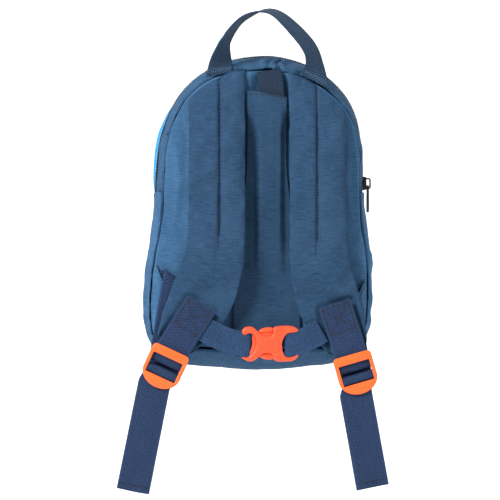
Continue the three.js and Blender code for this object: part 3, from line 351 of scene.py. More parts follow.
hardLooks = {
    "lockPlastic": {"dark": (0.84, 0.105, 0.012), "light": (0.96, 0.150, 0.020), "rough": (0.36, 0.5), "metal": 0.0},
    "bucklePlastic": {"dark": (0.82, 0.062, 0.016), "light": (0.93, 0.095, 0.026), "rough": (0.34, 0.5), "metal": 0.0},
    "sliderMetal": {"dark": (0.012, 0.012, 0.014), "light": (0.05, 0.05, 0.055), "rough": (0.28, 0.45), "metal": 0.75},
    "coilNylon": {"dark": (0.008, 0.009, 0.012), "light": (0.022, 0.024, 0.03), "rough": (0.4, 0.6), "metal": 0.0},
}
hardFinish = {"grain": 2600.0, "scuffs": 0.6, "shade": (0.2, 0.8), "bump": (0.25, 0.00012), "glow": (0.06, 0.002)}


def makeHard(name, look):
    material, w, shader = newMaterial(name)
    f = hardFinish
    mould = placeGroup(w, mouldGroup, {"Place": objectPlace(w), "Grain": f["grain"], "Scuffs": f["scuffs"]})
    colour = w.mixColour(mould["Shade"], look["dark"], look["light"])
    dress(w, shader, colour, mould["Shade"], (*f["shade"], *look["rough"]), mould["Height"], f["bump"])
    shader.inputs["Metallic"].default_value = look["metal"]
    if not look["metal"]:
        setInputs(shader, {"Subsurface Weight": f["glow"][0], "Subsurface Scale": f["glow"][1]})
    return material


threadLooks = {
    "navyThread": (0.0025, 0.004, 0.009),
    "brownThread": (0.010, 0.004, 0.004),
    "blueThread": (0.075, 0.155, 0.270),
}
threadFinish = {"noise": (3500.0, 2.0, 0.6), "dark": 0.6, "rough": (0, 1, 0.7, 0.7), "bump": (0.4, 0.0001)}


def makeThread(name, colour):
    material, w, shader = newMaterial(name)
    f = threadFinish
    fuzz = w.noise(objectPlace(w), *f["noise"])
    mixed = w.mixColour(fuzz, tuple(f["dark"] * c for c in colour), colour)
    dress(w, shader, mixed, fuzz, f["rough"], fuzz, f["bump"])
    return material


materials = {}
for table, make in ((clothLooks, makeCloth), (webbingLooks, makeWebbing), (hardLooks, makeHard),
                    (threadLooks, makeThread)):
    for lookName, look in table.items():
        materials[lookName] = make(lookName, look)
print("materials made")


def newPiece(name, mesh, material, nodes=(), slot=None, body="bag"):
    mesh.materials.clear()
    mesh.materials.append(materials[material])
    for polygon in mesh.polygons:
        polygon.use_smooth = True
    piece = placed(name, mesh)
    if nodes:
        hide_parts(*nodes)
    if slot:
        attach(piece, body)
    return piece


def meshFrom(bm, name):
    mesh = bpy.data.meshes.new(name)
    bm.to_mesh(mesh)
    bm.free()
    return mesh


def taken(holder, source):
    # The shape of source as a bmesh; the holder it came from goes.
    mesh = bpy.data.meshes.new_from_object(source)
    bpy.data.objects.remove(holder)
    bm = bmesh.new()
    bm.from_mesh(mesh)
    bpy.data.meshes.remove(mesh)
    return bm


def evaluated(holder):
    return holder.evaluated_get(bpy.context.evaluated_depsgraph_get())


def refined(bm, name, levels):
    # Subdivides a bmesh as a surface and hands back the result as a bmesh.
    holder = placed(name, meshFrom(bm, name))
    surface = holder.modifiers.new("surface", "SUBSURF")
    surface.levels = surface.render_levels = levels
    surface.use_limit_surface = False
    return taken(holder, evaluated(holder))


def bevelEdges(piece, width, angle):
    edge = piece.modifiers.new("edge", "BEVEL")
    edge.width = width * mm
    edge.segments = 2
    edge.limit_method = "ANGLE"
    edge.angle_limit = math.radians(angle)


def mergedNode(node):
    bm = bmesh.new()
    bm.from_mesh(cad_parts[node].data)
    bmesh.ops.remove_doubles(bm, verts=bm.verts, dist=0.000002)
    return bm


def nodeCopy(node, rimCrease=1.0, rimAngle=50):
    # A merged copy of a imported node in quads, its rims kept by creases.
    bm = mergedNode(node)
    bmesh.ops.join_triangles(bm, faces=bm.faces, angle_face_threshold=math.radians(40),
                             angle_shape_threshold=math.radians(70))
    bmesh.ops.recalc_face_normals(bm, faces=bm.faces)
    crease = bm.edges.layers.float.new("crease_edge")
    for edge in bm.edges:
        if len(edge.link_faces) == 2 and edge.calc_face_angle(0) > math.radians(rimAngle):
            edge[crease] = rimCrease
    return bm


bagMiddle = (-0.003, -0.155)
bagCentre = Vector((bagMiddle[0], 0, bagMiddle[1]))


def distanceToLine(x, z, line):
    # Distance from a point to a polyline of (x, z) points, how far along it the nearest place is, and its length.
    best, place, gone = 1e9, 0.0, 0.0
    for (ax, az), (bx, bz) in zip(line, line[1:]):
        dx, dz = bx - ax, bz - az
        length = math.hypot(dx, dz)
        t = clamp(((x - ax) * dx + (z - az) * dz) / (length * length))
        away = math.hypot(x - ax - t * dx, z - az - t * dz)
        if away < best:
            best, place = away, gone + t * length
        gone += length
    return best, place, gone


def foldCloth(bm, folds, facing=0.1, fade=0.6):
    # Raises or sinks the wearer's side along lines: each fold is a line, a width and a rise in millimetres.
    # It dies out at its ends, unless fade is nothing.
    for vert in bm.verts:
        if -vert.normal.y < facing:
            continue
        x, z = vert.co.x / mm, vert.co.z / mm
        for line, wide, rise in folds:
            away, place, whole = distanceToLine(x, z, line)
            if away < 3 * wide:
                share = math.sin(math.pi * clamp(place / whole)) ** fade
                vert.co.y -= rise * mm * math.exp(-(away / wide) ** 2) * share


def pressSeams(bm, seams):
    foldCloth(bm, seams, 0.2, 0)


def ruffle(bm, amount, size, seed, stretch=(1, 1, 1)):
    # Gentle slackness all over, along the normals.
    moves = []
    for vert in bm.verts:
        place = Vector(co * k for co, k in zip(vert.co, stretch)) / (size * mm) + Vector((seed, seed * 1.7, seed * 0.3))
        moves.append(vert.normal * (noise.noise(place) + 0.45 * noise.noise(place * 2.3)) * amount * mm)
    for vert, move in zip(bm.verts, moves):
        vert.co += move


gatherLook = {"round": 95, "rise": 5.0, "reach": 34.0, "least": 0.15, "lean": 0.35, "leanWave": 0.05}


def gatherWall(bm, amount, size, seed):
    # Puckers that start at the sewn edge and run back over a side wall, dying out with the depth.
    g = gatherLook
    moves = []
    for vert in bm.verts:
        out = Vector((vert.co.x, 0, vert.co.z)) - bagCentre
        around = math.atan2(out.x, out.z) * g["round"]
        deep = abs(vert.co.y / mm)
        share = min(1.0, deep / g["rise"]) * max(g["least"], 1 - deep / g["reach"])
        lean = around + deep * g["lean"] * math.sin(around * g["leanWave"] + seed)
        wave = noise.noise(Vector((lean / size, deep * 0.03, seed)))
        wave += 0.5 * noise.noise(Vector((lean * 2.1 / size, deep * 0.05, seed + 4)))
        crease = -abs(noise.noise(Vector((lean * 0.8 / size, deep * 0.02, seed + 9)))) ** 0.5
        moves.append(vert.normal * (wave + 0.9 * (crease + 0.4)) * share * amount * mm)
    for vert, move in zip(bm.verts, moves):
        vert.co += move


def mapCloth(bm, rule):
    # Writes a UV in metres that follows the cloth: rule gives it from a place.
    layer = bm.loops.layers.uv.get("threads") or bm.loops.layers.uv.new("threads")
    for face in bm.faces:
        for loop in face.loops:
            loop[layer].uv = rule(loop.vert.co)


def flatThreads(co):
    return co.x, co.z


def angleRound(x, z):
    return math.atan2(x - bagMiddle[0], z - bagMiddle[1])


def bagOutline(node):
    # A panel's seam round the bag as (x, z) points in metres, with its angle and length at each.
    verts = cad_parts[node].data.vertices
    flat = [Vector((v.co.x, v.co.z)) for v in verts]
    ring = [flat[i] for i in geometry.convex_hull_2d(flat)]
    ring = [p for k, p in enumerate(ring) if (p - ring[k - 1]).length > 0.6 * mm]
    ring.sort(key=lambda p: angleRound(*p))
    rows, gone = [], 0.0
    for k, point in enumerate(ring):
        gone += (point - ring[k - 1]).length if k else 0.0
        rows.append((angleRound(*point), gone, point))
    return rows


outlineRows = bagOutline("back_panel")
outlineAngles = [row[0] for row in outlineRows]


def roundThreads(co):
    # Depth across the side walls, and the length round the bag along them.
    angle = angleRound(co.x, co.z)
    k = bisect.bisect_left(outlineAngles, angle)
    if k == 0 or k == len(outlineRows):
        return co.y, outlineRows[0][1] if k == 0 else outlineRows[-1][1]
    (a, ga, _), (b, gb, _) = outlineRows[k - 1], outlineRows[k]
    return co.y, ga + (gb - ga) * (angle - a) / (b - a)


# Middle lines of the webbing in millimetres: place and width direction, which is left out where it stays the same.
webbingRoutes = {
    "centre": [
        (2.6, -1.3, -45.5, 0.99, 0, 0.14), (2.9, -3, -48), (3.3, -4, -50.9), (3.6, -4.5, -53.9), (4, -4.9, -57),
        (4.4, -5, -60.1), (4.7, -4.9, -63.1), (5.1, -4.7, -66.2), (5.5, -4.4, -69.2), (5.8, -4.2, -72.3),
        (6.2, -3.9, -75.4),
    ],
    "grabHandle": [
        (-35.9, 0, -48.7, 0.99, 0.07, 0.22), (-35.5, 0, -46, 0.97, 0.2, 0.2), (-35.1, 0, -43.3, 0.93, 0.33, 0.13),
        (-34.7, 0, -40.8, 0.89, 0.44, 0.05), (-34.4, 0, -38.6, 0.83, 0.54, -0.02),
        (-34, 0, -36.4, 0.76, 0.63, -0.08), (-33.6, 0, -34.3, 0.69, 0.71, -0.11),
        (-33.2, 0, -32.3, 0.61, 0.79, -0.11), (-32.8, 0, -30.2, 0.55, 0.83, -0.09),
        (-32.5, 0, -28.1, 0.48, 0.87, -0.1), (-31.9, 0, -26.1, 0.41, 0.9, -0.13), (-31.2, 0, -24, 0.34, 0.93, -0.13),
        (-30.3, 0, -22, 0.26, 0.96, -0.12), (-29.2, 0, -19.9, 0.24, 0.96, -0.13), (-28, 0, -17.8, 0.21, 0.97, -0.13),
        (-26.6, 0, -15.8, 0.18, 0.97, -0.13), (-25.1, 0, -13.7, 0.15, 0.98, -0.12),
        (-23.4, 0, -11.6, 0.13, 0.99, -0.11), (-21.4, 0, -9.3, 0.1, 0.99, -0.09), (-19.2, 0, -7, 0.07, 0.99, -0.08),
        (-16.2, 0, -4.9, 0.04, 1, -0.06), (-12.7, 0, -2.9, 0.01, 1, -0.02), (-8.8, 0, -1.3, -0.01, 1, 0.04),
        (-4.4, 0, 0.2, -0.03, 0.99, 0.14), (0, 0, 0.8, 0, 0.97, 0.24), (3.6, 0, 0.5, 0.06, 0.95, 0.31),
        (6.9, 0, -0.6, 0.14, 0.92, 0.35), (10.1, 0, -2.3, 0.25, 0.9, 0.35), (13.1, 0, -4.6, 0.31, 0.88, 0.35),
        (15.9, 0, -7.2, 0.33, 0.86, 0.38), (18.6, 0, -9.7, 0.36, 0.85, 0.37), (21.2, 0, -12.3, 0.38, 0.84, 0.38),
        (23.4, 0, -14.5, 0.4, 0.83, 0.39), (25.5, 0, -16.7, 0.41, 0.82, 0.39), (27.5, 0, -18.9, 0.43, 0.82, 0.39),
        (29.4, 0, -21.1, 0.45, 0.81, 0.38), (31.2, 0, -23.3, 0.48, 0.8, 0.36), (32.7, 0, -25.4, 0.51, 0.79, 0.34),
        (34.1, 0, -27.6, 0.53, 0.79, 0.3), (35.3, 0, -29.8, 0.55, 0.79, 0.27), (36.2, 0, -32, 0.57, 0.79, 0.23),
        (37, 0, -34.2, 0.6, 0.78, 0.16), (37.4, 0, -36.4, 0.64, 0.77, 0.09), (37.7, 0, -38.6, 0.66, 0.75, 0.06),
        (38.1, 0, -40.8, 0.7, 0.7, 0.02), (38.4, 0, -43.1, 0.76, 0.65, -0.07), (38.6, 0, -46.1, 0.84, 0.53, -0.25),
        (38.7, 0, -50.2, 0.95, 0.31, -0.44), (38.8, 0, -54.5, 1, 0.07, -0.51),
    ],
    "sewnLeft": [
        (-49.3, -16.1, -224.8, 0.84, 0, -0.54), (-68.9, -16.1, -255.1), (-73.9, -16.1, -264.2, 0.91, 0, -0.42),
        (-76.3, -16.1, -269.2), (-76.7, -15.8, -270.1), (-77, -15.1, -270.7), (-77.1, -14.1, -271),
        (-77.1, -14.1, -271), (-77, -13.1, -270.7), (-76.7, -12.4, -270.1), (-76.3, -12.1, -269.2),
        (-71.2, -12.1, -258.4),
    ],
    "adjustLeft": [
        (-79.3, -1.2, -213.2, 0.42, 0, -0.91), (-66.7, -4.6, -207.3, 0.89, 0, -0.69), (-65.8, -5.6, -206.2),
        (-66.7, -6.6, -207.3), (-67.6, -6.6, -212.8, 0.98, 0, -0.17), (-78.2, -6.6, -272.4, 0.91, 0, -0.42),
        (-78.3, -6.8, -273.1), (-78.4, -7.3, -273.6), (-78.4, -8, -273.8), (-78.4, -16.2, -273.8),
        (-78.5, -16.9, -274), (-78.7, -17.4, -274.4), (-79, -17.6, -275.1), (-80.3, -17.6, -277.9),
        (-80.5, -17.5, -278.3), (-80.6, -17.2, -278.6), (-80.7, -16.8, -278.7), (-80.7, -16.7, -278.7),
        (-80.8, -16.3, -278.8), (-80.9, -16, -279), (-81.2, -15.9, -279.4), (-85.2, -15.9, -284.9, 0.94, 0, -0.31),
        (-101.3, -15.9, -365.5, 0.98, 0, -0.2), (-101.3, -15.8, -365.9), (-101.4, -15.5, -366.2),
        (-101.4, -15.1, -366.3), (-101.4, -15, -366.3), (-101.4, -14.6, -366.2), (-101.3, -14.3, -365.9),
        (-101.3, -14.2, -365.5), (-97.9, -14.2, -348.7),
    ],
    "chestLeft": [
        (-48.4, -14.5, -243.2, 0.5, 0, 0.87), (-45, -14.5, -245.1, 0.49, 0, 0.87),
        (-41.6, -14.5, -247, 0.47, 0, 0.88), (-38.1, -14.5, -248.8, 0.44, 0, 0.9),
        (-34.5, -14.5, -250.5, 0.4, 0, 0.91), (-30.9, -14.5, -251.9, 0.36, 0, 0.93),
        (-27.2, -14.5, -253.3, 0.31, 0, 0.95), (-23.4, -14.5, -254.3, 0.24, 0, 0.97),
        (-19.6, -14.5, -255.1, 0.17, 0, 0.99), (-15.7, -14.5, -255.7, 0.1, 0, 1), (-13.7, -14.5, -255.8, 0, 0, 1),
        (-12.8, -14.2, -255.8), (-12.1, -13.5, -255.9), (-11.8, -12.6, -255.9), (-11.8, -12.5, -255.9),
        (-12.1, -11.5, -255.9), (-12.8, -10.8, -255.9), (-13.8, -10.5, -255.9), (-23.8, -10.5, -255.7),
    ],
    "sewnRight": [
        (51.7, -16.1, -224.1, 0.95, 0, 0.31), (62.9, -16.1, -258.4), (65.9, -16.1, -268.4, 0.96, 0, 0.28),
        (67.4, -16.1, -273.7), (67.7, -15.8, -274.7), (67.9, -15.1, -275.3), (68, -14.1, -275.6),
        (68, -14.1, -275.6), (67.9, -13.1, -275.3), (67.7, -12.4, -274.7), (67.4, -12.1, -273.7),
        (64.2, -12.1, -262.2),
    ],
    "adjustRight": [
        (70.2, -1.3, -223.6, -0.42, 0, -0.91), (57.5, -4.6, -217.7, -0.89, 0, -0.69), (56.6, -5.6, -216.6),
        (57.5, -6.6, -217.7), (58.5, -6.6, -223.2, -0.98, 0, -0.18), (68.6, -6.6, -277.2, -0.96, 0, -0.28),
        (68.7, -6.8, -277.9), (68.8, -7.3, -278.4), (68.8, -8, -278.6), (68.8, -16.2, -278.6), (68.9, -16.9, -278.8),
        (69, -17.4, -279.2), (69.2, -17.6, -279.9), (70.1, -17.6, -283), (70.2, -17.5, -283.4),
        (70.3, -17.2, -283.7), (70.3, -16.8, -283.8), (70.3, -16.7, -283.8), (70.3, -16.3, -283.9),
        (70.2, -16, -284.2), (70.1, -15.9, -284.6), (68, -15.9, -292.3, -0.97, 0, -0.23),
        (80.9, -15.9, -363.3, -0.98, 0, -0.18), (81, -15.8, -363.7), (81, -15.5, -364), (81, -15.1, -364.1),
        (81, -15, -364.1), (81, -14.6, -364), (81, -14.3, -363.7), (80.9, -14.2, -363.3), (77.5, -14.2, -344.4),
    ],
    "chestRight": [
        (42.4, -14.5, -245, -0.5, 0, 0.87), (39.8, -14.5, -246.5, -0.5, 0, 0.86),
        (37.1, -14.5, -248.1, -0.5, 0, 0.87), (34.5, -14.5, -249.5, -0.48, 0, 0.88),
        (31.8, -14.5, -251, -0.45, 0, 0.89), (29.1, -14.5, -252.3, -0.41, 0, 0.91),
        (26.3, -14.5, -253.5, -0.36, 0, 0.93), (23.4, -14.5, -254.4, -0.29, 0, 0.96),
        (20.4, -14.5, -255.2, -0.21, 0, 0.98), (17.4, -14.5, -255.7, -0.12, 0, 0.99), (15.9, -14.5, -255.8, 0, 0, 1),
        (15.3, -14.4, -255.8), (14.8, -14.1, -255.9), (14.5, -13.6, -255.9), (14.4, -13, -255.9),
        (14.4, -12.5, -255.9), (14.7, -11.5, -255.9), (15.4, -10.8, -255.9), (16.4, -10.5, -255.9),
        (26.4, -10.5, -255.7),
    ],
}


def eased(line):
    return [line[0]] + [(a + 2 * b + c) / 4 for a, b, c in zip(line, line[1:], line[2:])] + [line[-1]]


stripLook = {"step": 1.3, "smoothing": 2, "columns": 14, "fill": 0.92, "edge": 0.3}


class Strip:
    # A strip of webbing along a route, cut into short steps and smoothed.
    def __init__(self, rows):
        at, across = [Vector(rows[0][:3])], [Vector(rows[0][3:])]
        place, side = at[0], across[0]
        for row in rows[1:]:
            nextPlace = Vector(row[:3])
            nextSide = Vector(row[3:]) if len(row) > 3 else side
            cuts = max(1, round((nextPlace - place).length / stripLook["step"]))
            for k in range(1, cuts + 1):
                at.append(place.lerp(nextPlace, k / cuts))
                across.append(side.lerp(nextSide, k / cuts))
            place, side = nextPlace, nextSide
        for _ in range(stripLook["smoothing"]):
            at, across = eased(at), eased(across)
        self.at, self.across = at, across
        self.along = [(at[min(i + 1, len(at) - 1)] - at[max(i - 1, 0)]).normalized() for i in range(len(at))]
        self.normal = [a.cross(c).normalized() for a, c in zip(self.along, self.across)]
        self.gone = [0.0]
        for a, b in zip(at, at[1:]):
            self.gone.append(self.gone[-1] + (b - a).length)

    def place(self, u, v, lift=0.0):
        # A point on the strip, u across from its middle and v along it, in millimetres.
        v = max(0.0, min(v, self.gone[-1]))
        i = max(k for k, g in enumerate(self.gone) if g <= v)
        j = min(i + 1, len(self.at) - 1)
        t = (v - self.gone[i]) / max(1e-6, self.gone[j] - self.gone[i]) if j > i else 0.0
        point = self.at[i].lerp(self.at[j], t) + self.across[i].lerp(self.across[j], t) * u
        return point + self.normal[i].lerp(self.normal[j], t) * lift


# Piece, node, width, thickness, material, and how much the strip cups and sways.
webbingTable = {
    "grabHandle": ("grabHandleStrip", "grab_handle", 20.5, 1.6, "handleWebbing", 0.2, 0.3),
    "centre": ("centreStrip", "centre_webbing", 19, 1.2, "loopWebbing", 0.2, 0.3),
    "sewnLeft": ("sewnStripLeft", "sewn_webbing_left", 25, 1.4, "strapWebbing", 0.1, 0.1),
    "sewnRight": ("sewnStripRight", "sewn_webbing_right", 25, 1.4, "strapWebbing", 0.1, 0.1),
    "adjustLeft": ("adjustStripLeft", "adjust_webbing_left", 25, 1.4, "strapWebbing", 0.2, 0.3),
    "adjustRight": ("adjustStripRight", "adjust_webbing_right", 25, 1.4, "strapWebbing", 0.2, 0.3),
    "chestLeft": ("chestStripLeft", "chest_webbing_left", 19, 1.2, "chestWebbing", 0.2, 0.3),
    "chestRight": ("chestStripRight", "chest_webbing_right", 19, 1.2, "chestWebbing", 0.2, 0.3),
}
strips = {}
webbingMade = {}


def buildWebbing(seed):
    for kind, (name, node, width, thick, material, cup, sway) in webbingTable.items():
        strip = strips[kind] = Strip(webbingRoutes[kind])
        rows = len(strip.at) - 1
        bm = bmesh.new()
        bmesh.ops.create_grid(bm, x_segments=stripLook["columns"], y_segments=rows, size=0.5)
        layer = bm.loops.layers.uv.new("threads")
        shares = {vert: (vert.co.x, round((vert.co.y + 0.5) * rows)) for vert in bm.verts}
        for face in bm.faces:
            for loop in face.loops:
                u, i = shares[loop.vert]
                loop[layer].uv = (u * width * mm, strip.gone[i] * mm)
        for vert, (u, i) in shares.items():
            drift = noise.noise(Vector((u * 1.5, strip.gone[i] * 0.05, seed))) * sway
            lift = drift - cup * (4 * u * u - 0.4)
            vert.co = (strip.at[i] + strip.across[i] * (u * width) + strip.normal[i] * lift) * mm
        bmesh.ops.recalc_face_normals(bm, faces=bm.faces)
        piece = newPiece(name, meshFrom(bm, name), material, (node,), "navy_webbing")
        wall = piece.modifiers.new("wall", "SOLIDIFY")
        wall.thickness = thick * stripLook["fill"] * mm
        wall.offset = 0.0
        wall.use_even_offset = False
        bevelEdges(piece, stripLook["edge"], 60)
        webbingMade[kind] = piece
        seed += 2.7
    print("webbing made")


# Folds of the side walls: a line of places round from the top and deep, its width and its rise, in millimetres.
wallFolds = [
    ([(13, 2), (8, 10), (13, 20), (12, 30)], 1.7, -2.4), ([(18, 2), (14, 11), (20, 24)], 2.3, 1.8),
    ([(3, 3), (2, 12), (7, 22)], 2.4, 1.5), ([(-32, 2), (-18, 9), (-4, 13)], 2.2, 1.5),
    ([(-36, 6), (-20, 15), (-6, 18)], 2.4, -1.6), ([(-52, 4), (-40, 14), (-30, 26)], 2.6, 1.4),
    ([(28, 4), (40, 10), (52, 12)], 2.2, -1.5), ([(32, 9), (46, 17), (60, 21)], 2.6, 1.4),
    ([(-96, 3), (-90, 16), (-94, 32)], 3.0, -1.5), ([(-110, 3), (-104, 14), (-108, 30)], 3.2, 1.4),
    ([(88, 3), (82, 16), (88, 30)], 3.0, -1.4), ([(-196, 4), (-190, 16), (-200, 34)], 3.0, 1.5),
    ([(-222, 3), (-214, 14), (-226, 32)], 2.8, -1.8), ([(-234, 3), (-229, 15), (-238, 30)], 2.6, 1.8),
    ([(-248, 4), (-242, 16), (-250, 34)], 3.0, -1.6), ([(192, 4), (188, 16), (198, 34)], 3.0, 1.5),
    ([(224, 3), (216, 14), (228, 32)], 2.8, -1.8), ([(240, 3), (234, 15), (244, 30)], 2.8, 1.6),
]
wallReach = {"round": 34, "from": 0.06, "over": 0.88}


def foldWall(bm, folds):
    top = roundThreads(Vector((bagMiddle[0], 0, 0)))[1]
    for vert in bm.verts:
        deep, gone = roundThreads(vert.co)
        place = ((gone - top) / mm, deep / mm)
        for line, wide, rise in folds:
            if abs(place[0] - line[1][0]) > wallReach["round"]:
                continue
            away, along, whole = distanceToLine(*place, line)
            if away < 3 * wide:
                share = math.sin(math.pi * clamp(wallReach["from"] + wallReach["over"] * along / whole)) ** 0.6
                vert.co += vert.normal * rise * mm * math.exp(-(away / wide) ** 2) * share


softLooks = {
    "backPad": {"node": "back_panel", "material": "backCloth", "ruffle": 1.0, "size": 26,
        "folds": [
            ([(-70, -95), (-66, -130), (-70, -165)], 2.6, 1.0), ([(-64, -84), (-60, -105), (-62, -125)], 2.2, -0.9),
            ([(64, -100), (62, -130), (66, -160)], 2.6, 0.9), ([(-66, -175), (-71, -225), (-74, -262)], 4.5, 1.0),
            ([(-60, -215), (-64, -262)], 4.0, -0.9), ([(62, -190), (66, -235), (68, -262)], 4.0, 0.8),
            ([(-40, -256), (0, -252), (40, -258)], 3.0, -0.7), ([(-30, -247), (20, -245)], 4.0, 0.7),
        ]},
    "frontPad": {"node": "front_panel", "material": "brightCloth", "crease": 0.7, "ruffle": 0.8, "size": 45},
    "rearWall": {"node": "rear_gusset", "material": "wallCloth", "size": 16, "gather": (2.4, 13.0)},
    "frontWall": {"node": "front_gusset", "material": "brightCloth", "size": 18},
    "lowerWall": {"node": "lower_gusset", "material": "wallCloth", "ruffle": 0.5, "size": 18, "gather": (2.0, 14.0)},
    "pocketLeft": {"node": "side_pocket_left", "material": "backCloth", "size": 17},
    "pocketRight": {"node": "side_pocket_right", "material": "backCloth", "size": 17},
    "centrePad": {"node": "centre_panel", "material": "centreCloth", "crease": 0.8, "ruffle": 0.35, "size": 22,
        "seams": [([(-13.5, -64.2), (17.5, -67)], 0.9, -0.4)],
        "folds": [
            ([(-6, -75), (-3, -140), (-5, -200)], 4, 0.6), ([(10, -75), (7, -150)], 3.5, -0.6),
        ]},
    "wingLeft": {"node": "wing_tab_left", "material": "backCloth", "crease": 0.9, "ruffle": 0.15, "size": 9},
    "wingRight": {"node": "wing_tab_right", "material": "backCloth", "crease": 0.9, "ruffle": 0.15, "size": 9},
}
softBase = {"crease": 1.0, "ruffle": 0.45, "gather": (1.0, 15.0), "folds": [], "seams": []}
clothLevels = 3
paddedFill = {"backPad": 0.5, "centrePad": 0.4}
backForm = {"hollow": 6.5, "hollowTop": 150, "hollowTall": 116, "hollowHalf": 40, "hollowAt": 2,
            "channel": 3.8, "channelAt": 3.4, "channelIn": (7, 5), "channelOut": (26, 8),
            "channelTop": (66, 25), "channelLow": (215, 50), "hem": 5.5, "hemAt": (3, 57), "hemHalf": (12, 9)}
centreSink = {"left": 1.6, "more": 2.4, "from": 12, "over": 30, "below": 80, "fade": 15}


def hollowBack(bm, name):
    # The low middle of the back hangs in, between the straps.
    f, c = backForm, centreSink
    for vert in bm.verts:
        x, z = vert.co.x / mm, vert.co.z / mm
        down = max(0.0, math.sin(math.pi * clamp((-f["hollowTop"] - z) / f["hollowTall"]) ** 1.3))
        vert.co.y += f["hollow"] * mm * down * math.exp(-((x - f["hollowAt"]) / f["hollowHalf"]) ** 2)
        # Beside the straps' inner edges the cloth sinks into a shaded channel.
        aside = abs(x - f["channelAt"])
        channel = clamp((aside - f["channelIn"][0]) / f["channelIn"][1])
        channel *= clamp((f["channelOut"][0] - aside) / f["channelOut"][1])
        channel *= clamp((-f["channelTop"][0] - z) / f["channelTop"][1])
        channel *= clamp((z + f["channelLow"][0]) / f["channelLow"][1])
        vert.co.y += f["channel"] * mm * channel * channel * (3 - 2 * channel)
        if name == "backPad":
            # The cloth behind the centre webbing lies deeper, in the shade of its hem.
            hem = ((x - f["hemAt"][0]) / f["hemHalf"][0]) ** 4 + ((z + f["hemAt"][1]) / f["hemHalf"][1]) ** 4
            vert.co.y += f["hem"] * mm * math.exp(-hem)
        else:
            sink = c["left"] + c["more"] * clamp((x + c["from"]) / c["over"])
            vert.co.z -= sink * mm * clamp((z + c["below"]) / c["fade"])


brightEdge = {"low": -146, "high": -62, "lift": 4.9, "depth": (49, 90), "in": 5, "end": 86, "out": 31,
              "toward": (-0.93, 0, 0.37)}


def liftBrightEdge(bm):
    # The front's cloth stands out past the back's along the left outline.
    e = brightEdge
    near, far = e["depth"]
    for vert in bm.verts:
        z, deep = vert.co.z / mm, vert.co.y / mm
        if vert.co.x < 0 and e["low"] < z < e["high"] and near < deep < far:
            along = math.sin(math.pi * (z - e["low"]) / (e["high"] - e["low"])) ** 0.5
            across = min(1.0, (deep - near) / e["in"]) ** 0.6 * clamp((e["end"] - deep) / e["out"]) ** 1.2
            vert.co += Vector(e["toward"]) * e["lift"] * mm * along * across


pocketSeam = {"reach": 9, "back": 2.4, "inward": 1.1}


def sewPocket(bm, node):
    # The pocket's rear edge is sewn into the back seam.
    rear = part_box(node)[0][1]
    for vert in bm.verts:
        near = max(0.0, 1 - (vert.co.y - rear) / (pocketSeam["reach"] * mm))
        vert.co.y -= pocketSeam["back"] * near * mm
        vert.co.x -= math.copysign(pocketSeam["inward"] * near * mm, vert.co.x)


softPieces = {}


def buildSoft(name, look, seed):
    node = look["node"]
    bm = refined(nodeCopy(node, look["crease"]), name, clothLevels)
    bm.normal_update()
    foldCloth(bm, look["folds"])
    pressSeams(bm, look["seams"])
    bm.normal_update()
    ruffle(bm, look["ruffle"], look["size"], seed)
    pocket = name.startswith("pocket")
    roundWall = name.endswith("Wall") or pocket
    if name in paddedFill:
        hollowBack(bm, name)
    if name == "frontWall":
        liftBrightEdge(bm)
    if pocket:
        sewPocket(bm, node)
    if name == "rearWall" or pocket:
        bm.normal_update()
        foldWall(bm, wallFolds)
    if roundWall:
        bm.normal_update()
        gatherWall(bm, *look["gather"], seed)
    mapCloth(bm, roundThreads if roundWall else flatThreads)
    piece = newPiece(name, meshFrom(bm, name), look["material"], (node,),
                     "light_blue_cloth" if look["material"] == "brightCloth" else "blue_cloth")
    softPieces[name] = piece


# The line of a strap is its middle, down from the top seam, as x and z in millimetres.
strapLooks = {
    "shoulderPadLeft": {"node": "shoulder_strap_left", "seamShift": 2.3, "seamEnd": -180, "cap": 2.2,
        "line": [
            (-37.6, -51.9), (-37.6, -69.1), (-37.6, -86.2), (-37.6, -103.4), (-37.6, -120.6), (-37.5, -137.7),
            (-37.6, -154.9), (-38.0, -172.0), (-39.7, -189.2), (-44.1, -206.4), (-51.3, -223.5), (-60.7, -240.7),
            (-71.0, -257.8),
        ],
        "patch": [(-81.9, -252.6), (-59.3, -218.8), (-38.2, -230.6), (-57.2, -262.4)],
        "folds": [
            ([(-62, -236), (-46, -214), (-24, -205)], 3.0, -0.8),
            ([(-66, -225), (-48, -200), (-28, -190)], 4.0, 0.7),
            ([(-58, -140), (-50, -133), (-42, -138)], 1.6, -1.5),
            ([(-60, -134), (-51, -127), (-38, -124)], 2.4, 1.3),
            ([(-54, -116), (-44, -111), (-34, -112)], 2.0, -1.1),
            ([(-22, -165), (-30, -158), (-38, -160)], 2.4, -1.0),
        ]},
    "shoulderPadRight": {"node": "shoulder_strap_right", "seamShift": 0.0, "seamEnd": -182, "cap": 2.2,
        "line": [
            (39.2, -57.3), (39.2, -74.4), (39.2, -91.4), (39.2, -108.4), (39.2, -125.4), (39.2, -142.5),
            (39.2, -159.5), (39.5, -176.5), (40.8, -193.5), (44.1, -210.6), (49.4, -227.6), (56.4, -244.6),
            (64.0, -261.7),
        ],
        "patch": [(50.6, -266.8), (40.4, -228.6), (65.0, -220.4), (76.7, -258.4)],
        "folds": [
            ([(68, -240), (48, -222), (26, -214)], 3.0, -0.8), ([(66, -222), (50, -206), (28, -198)], 4.0, 0.7),
            ([(58, -146), (48, -139), (36, -142)], 2.0, -1.3), ([(60, -138), (48, -131), (38, -134)], 2.6, 1.1),
            ([(56, -108), (44, -104)], 2.4, -0.9),
        ]},
}
clothLook = {"pressure": 2.2, "grow": -0.012, "frames": 20, "stiff": 12.0, "shear": 4.0, "bend": 0.25, "mass": 0.2,
             "quality": 4}


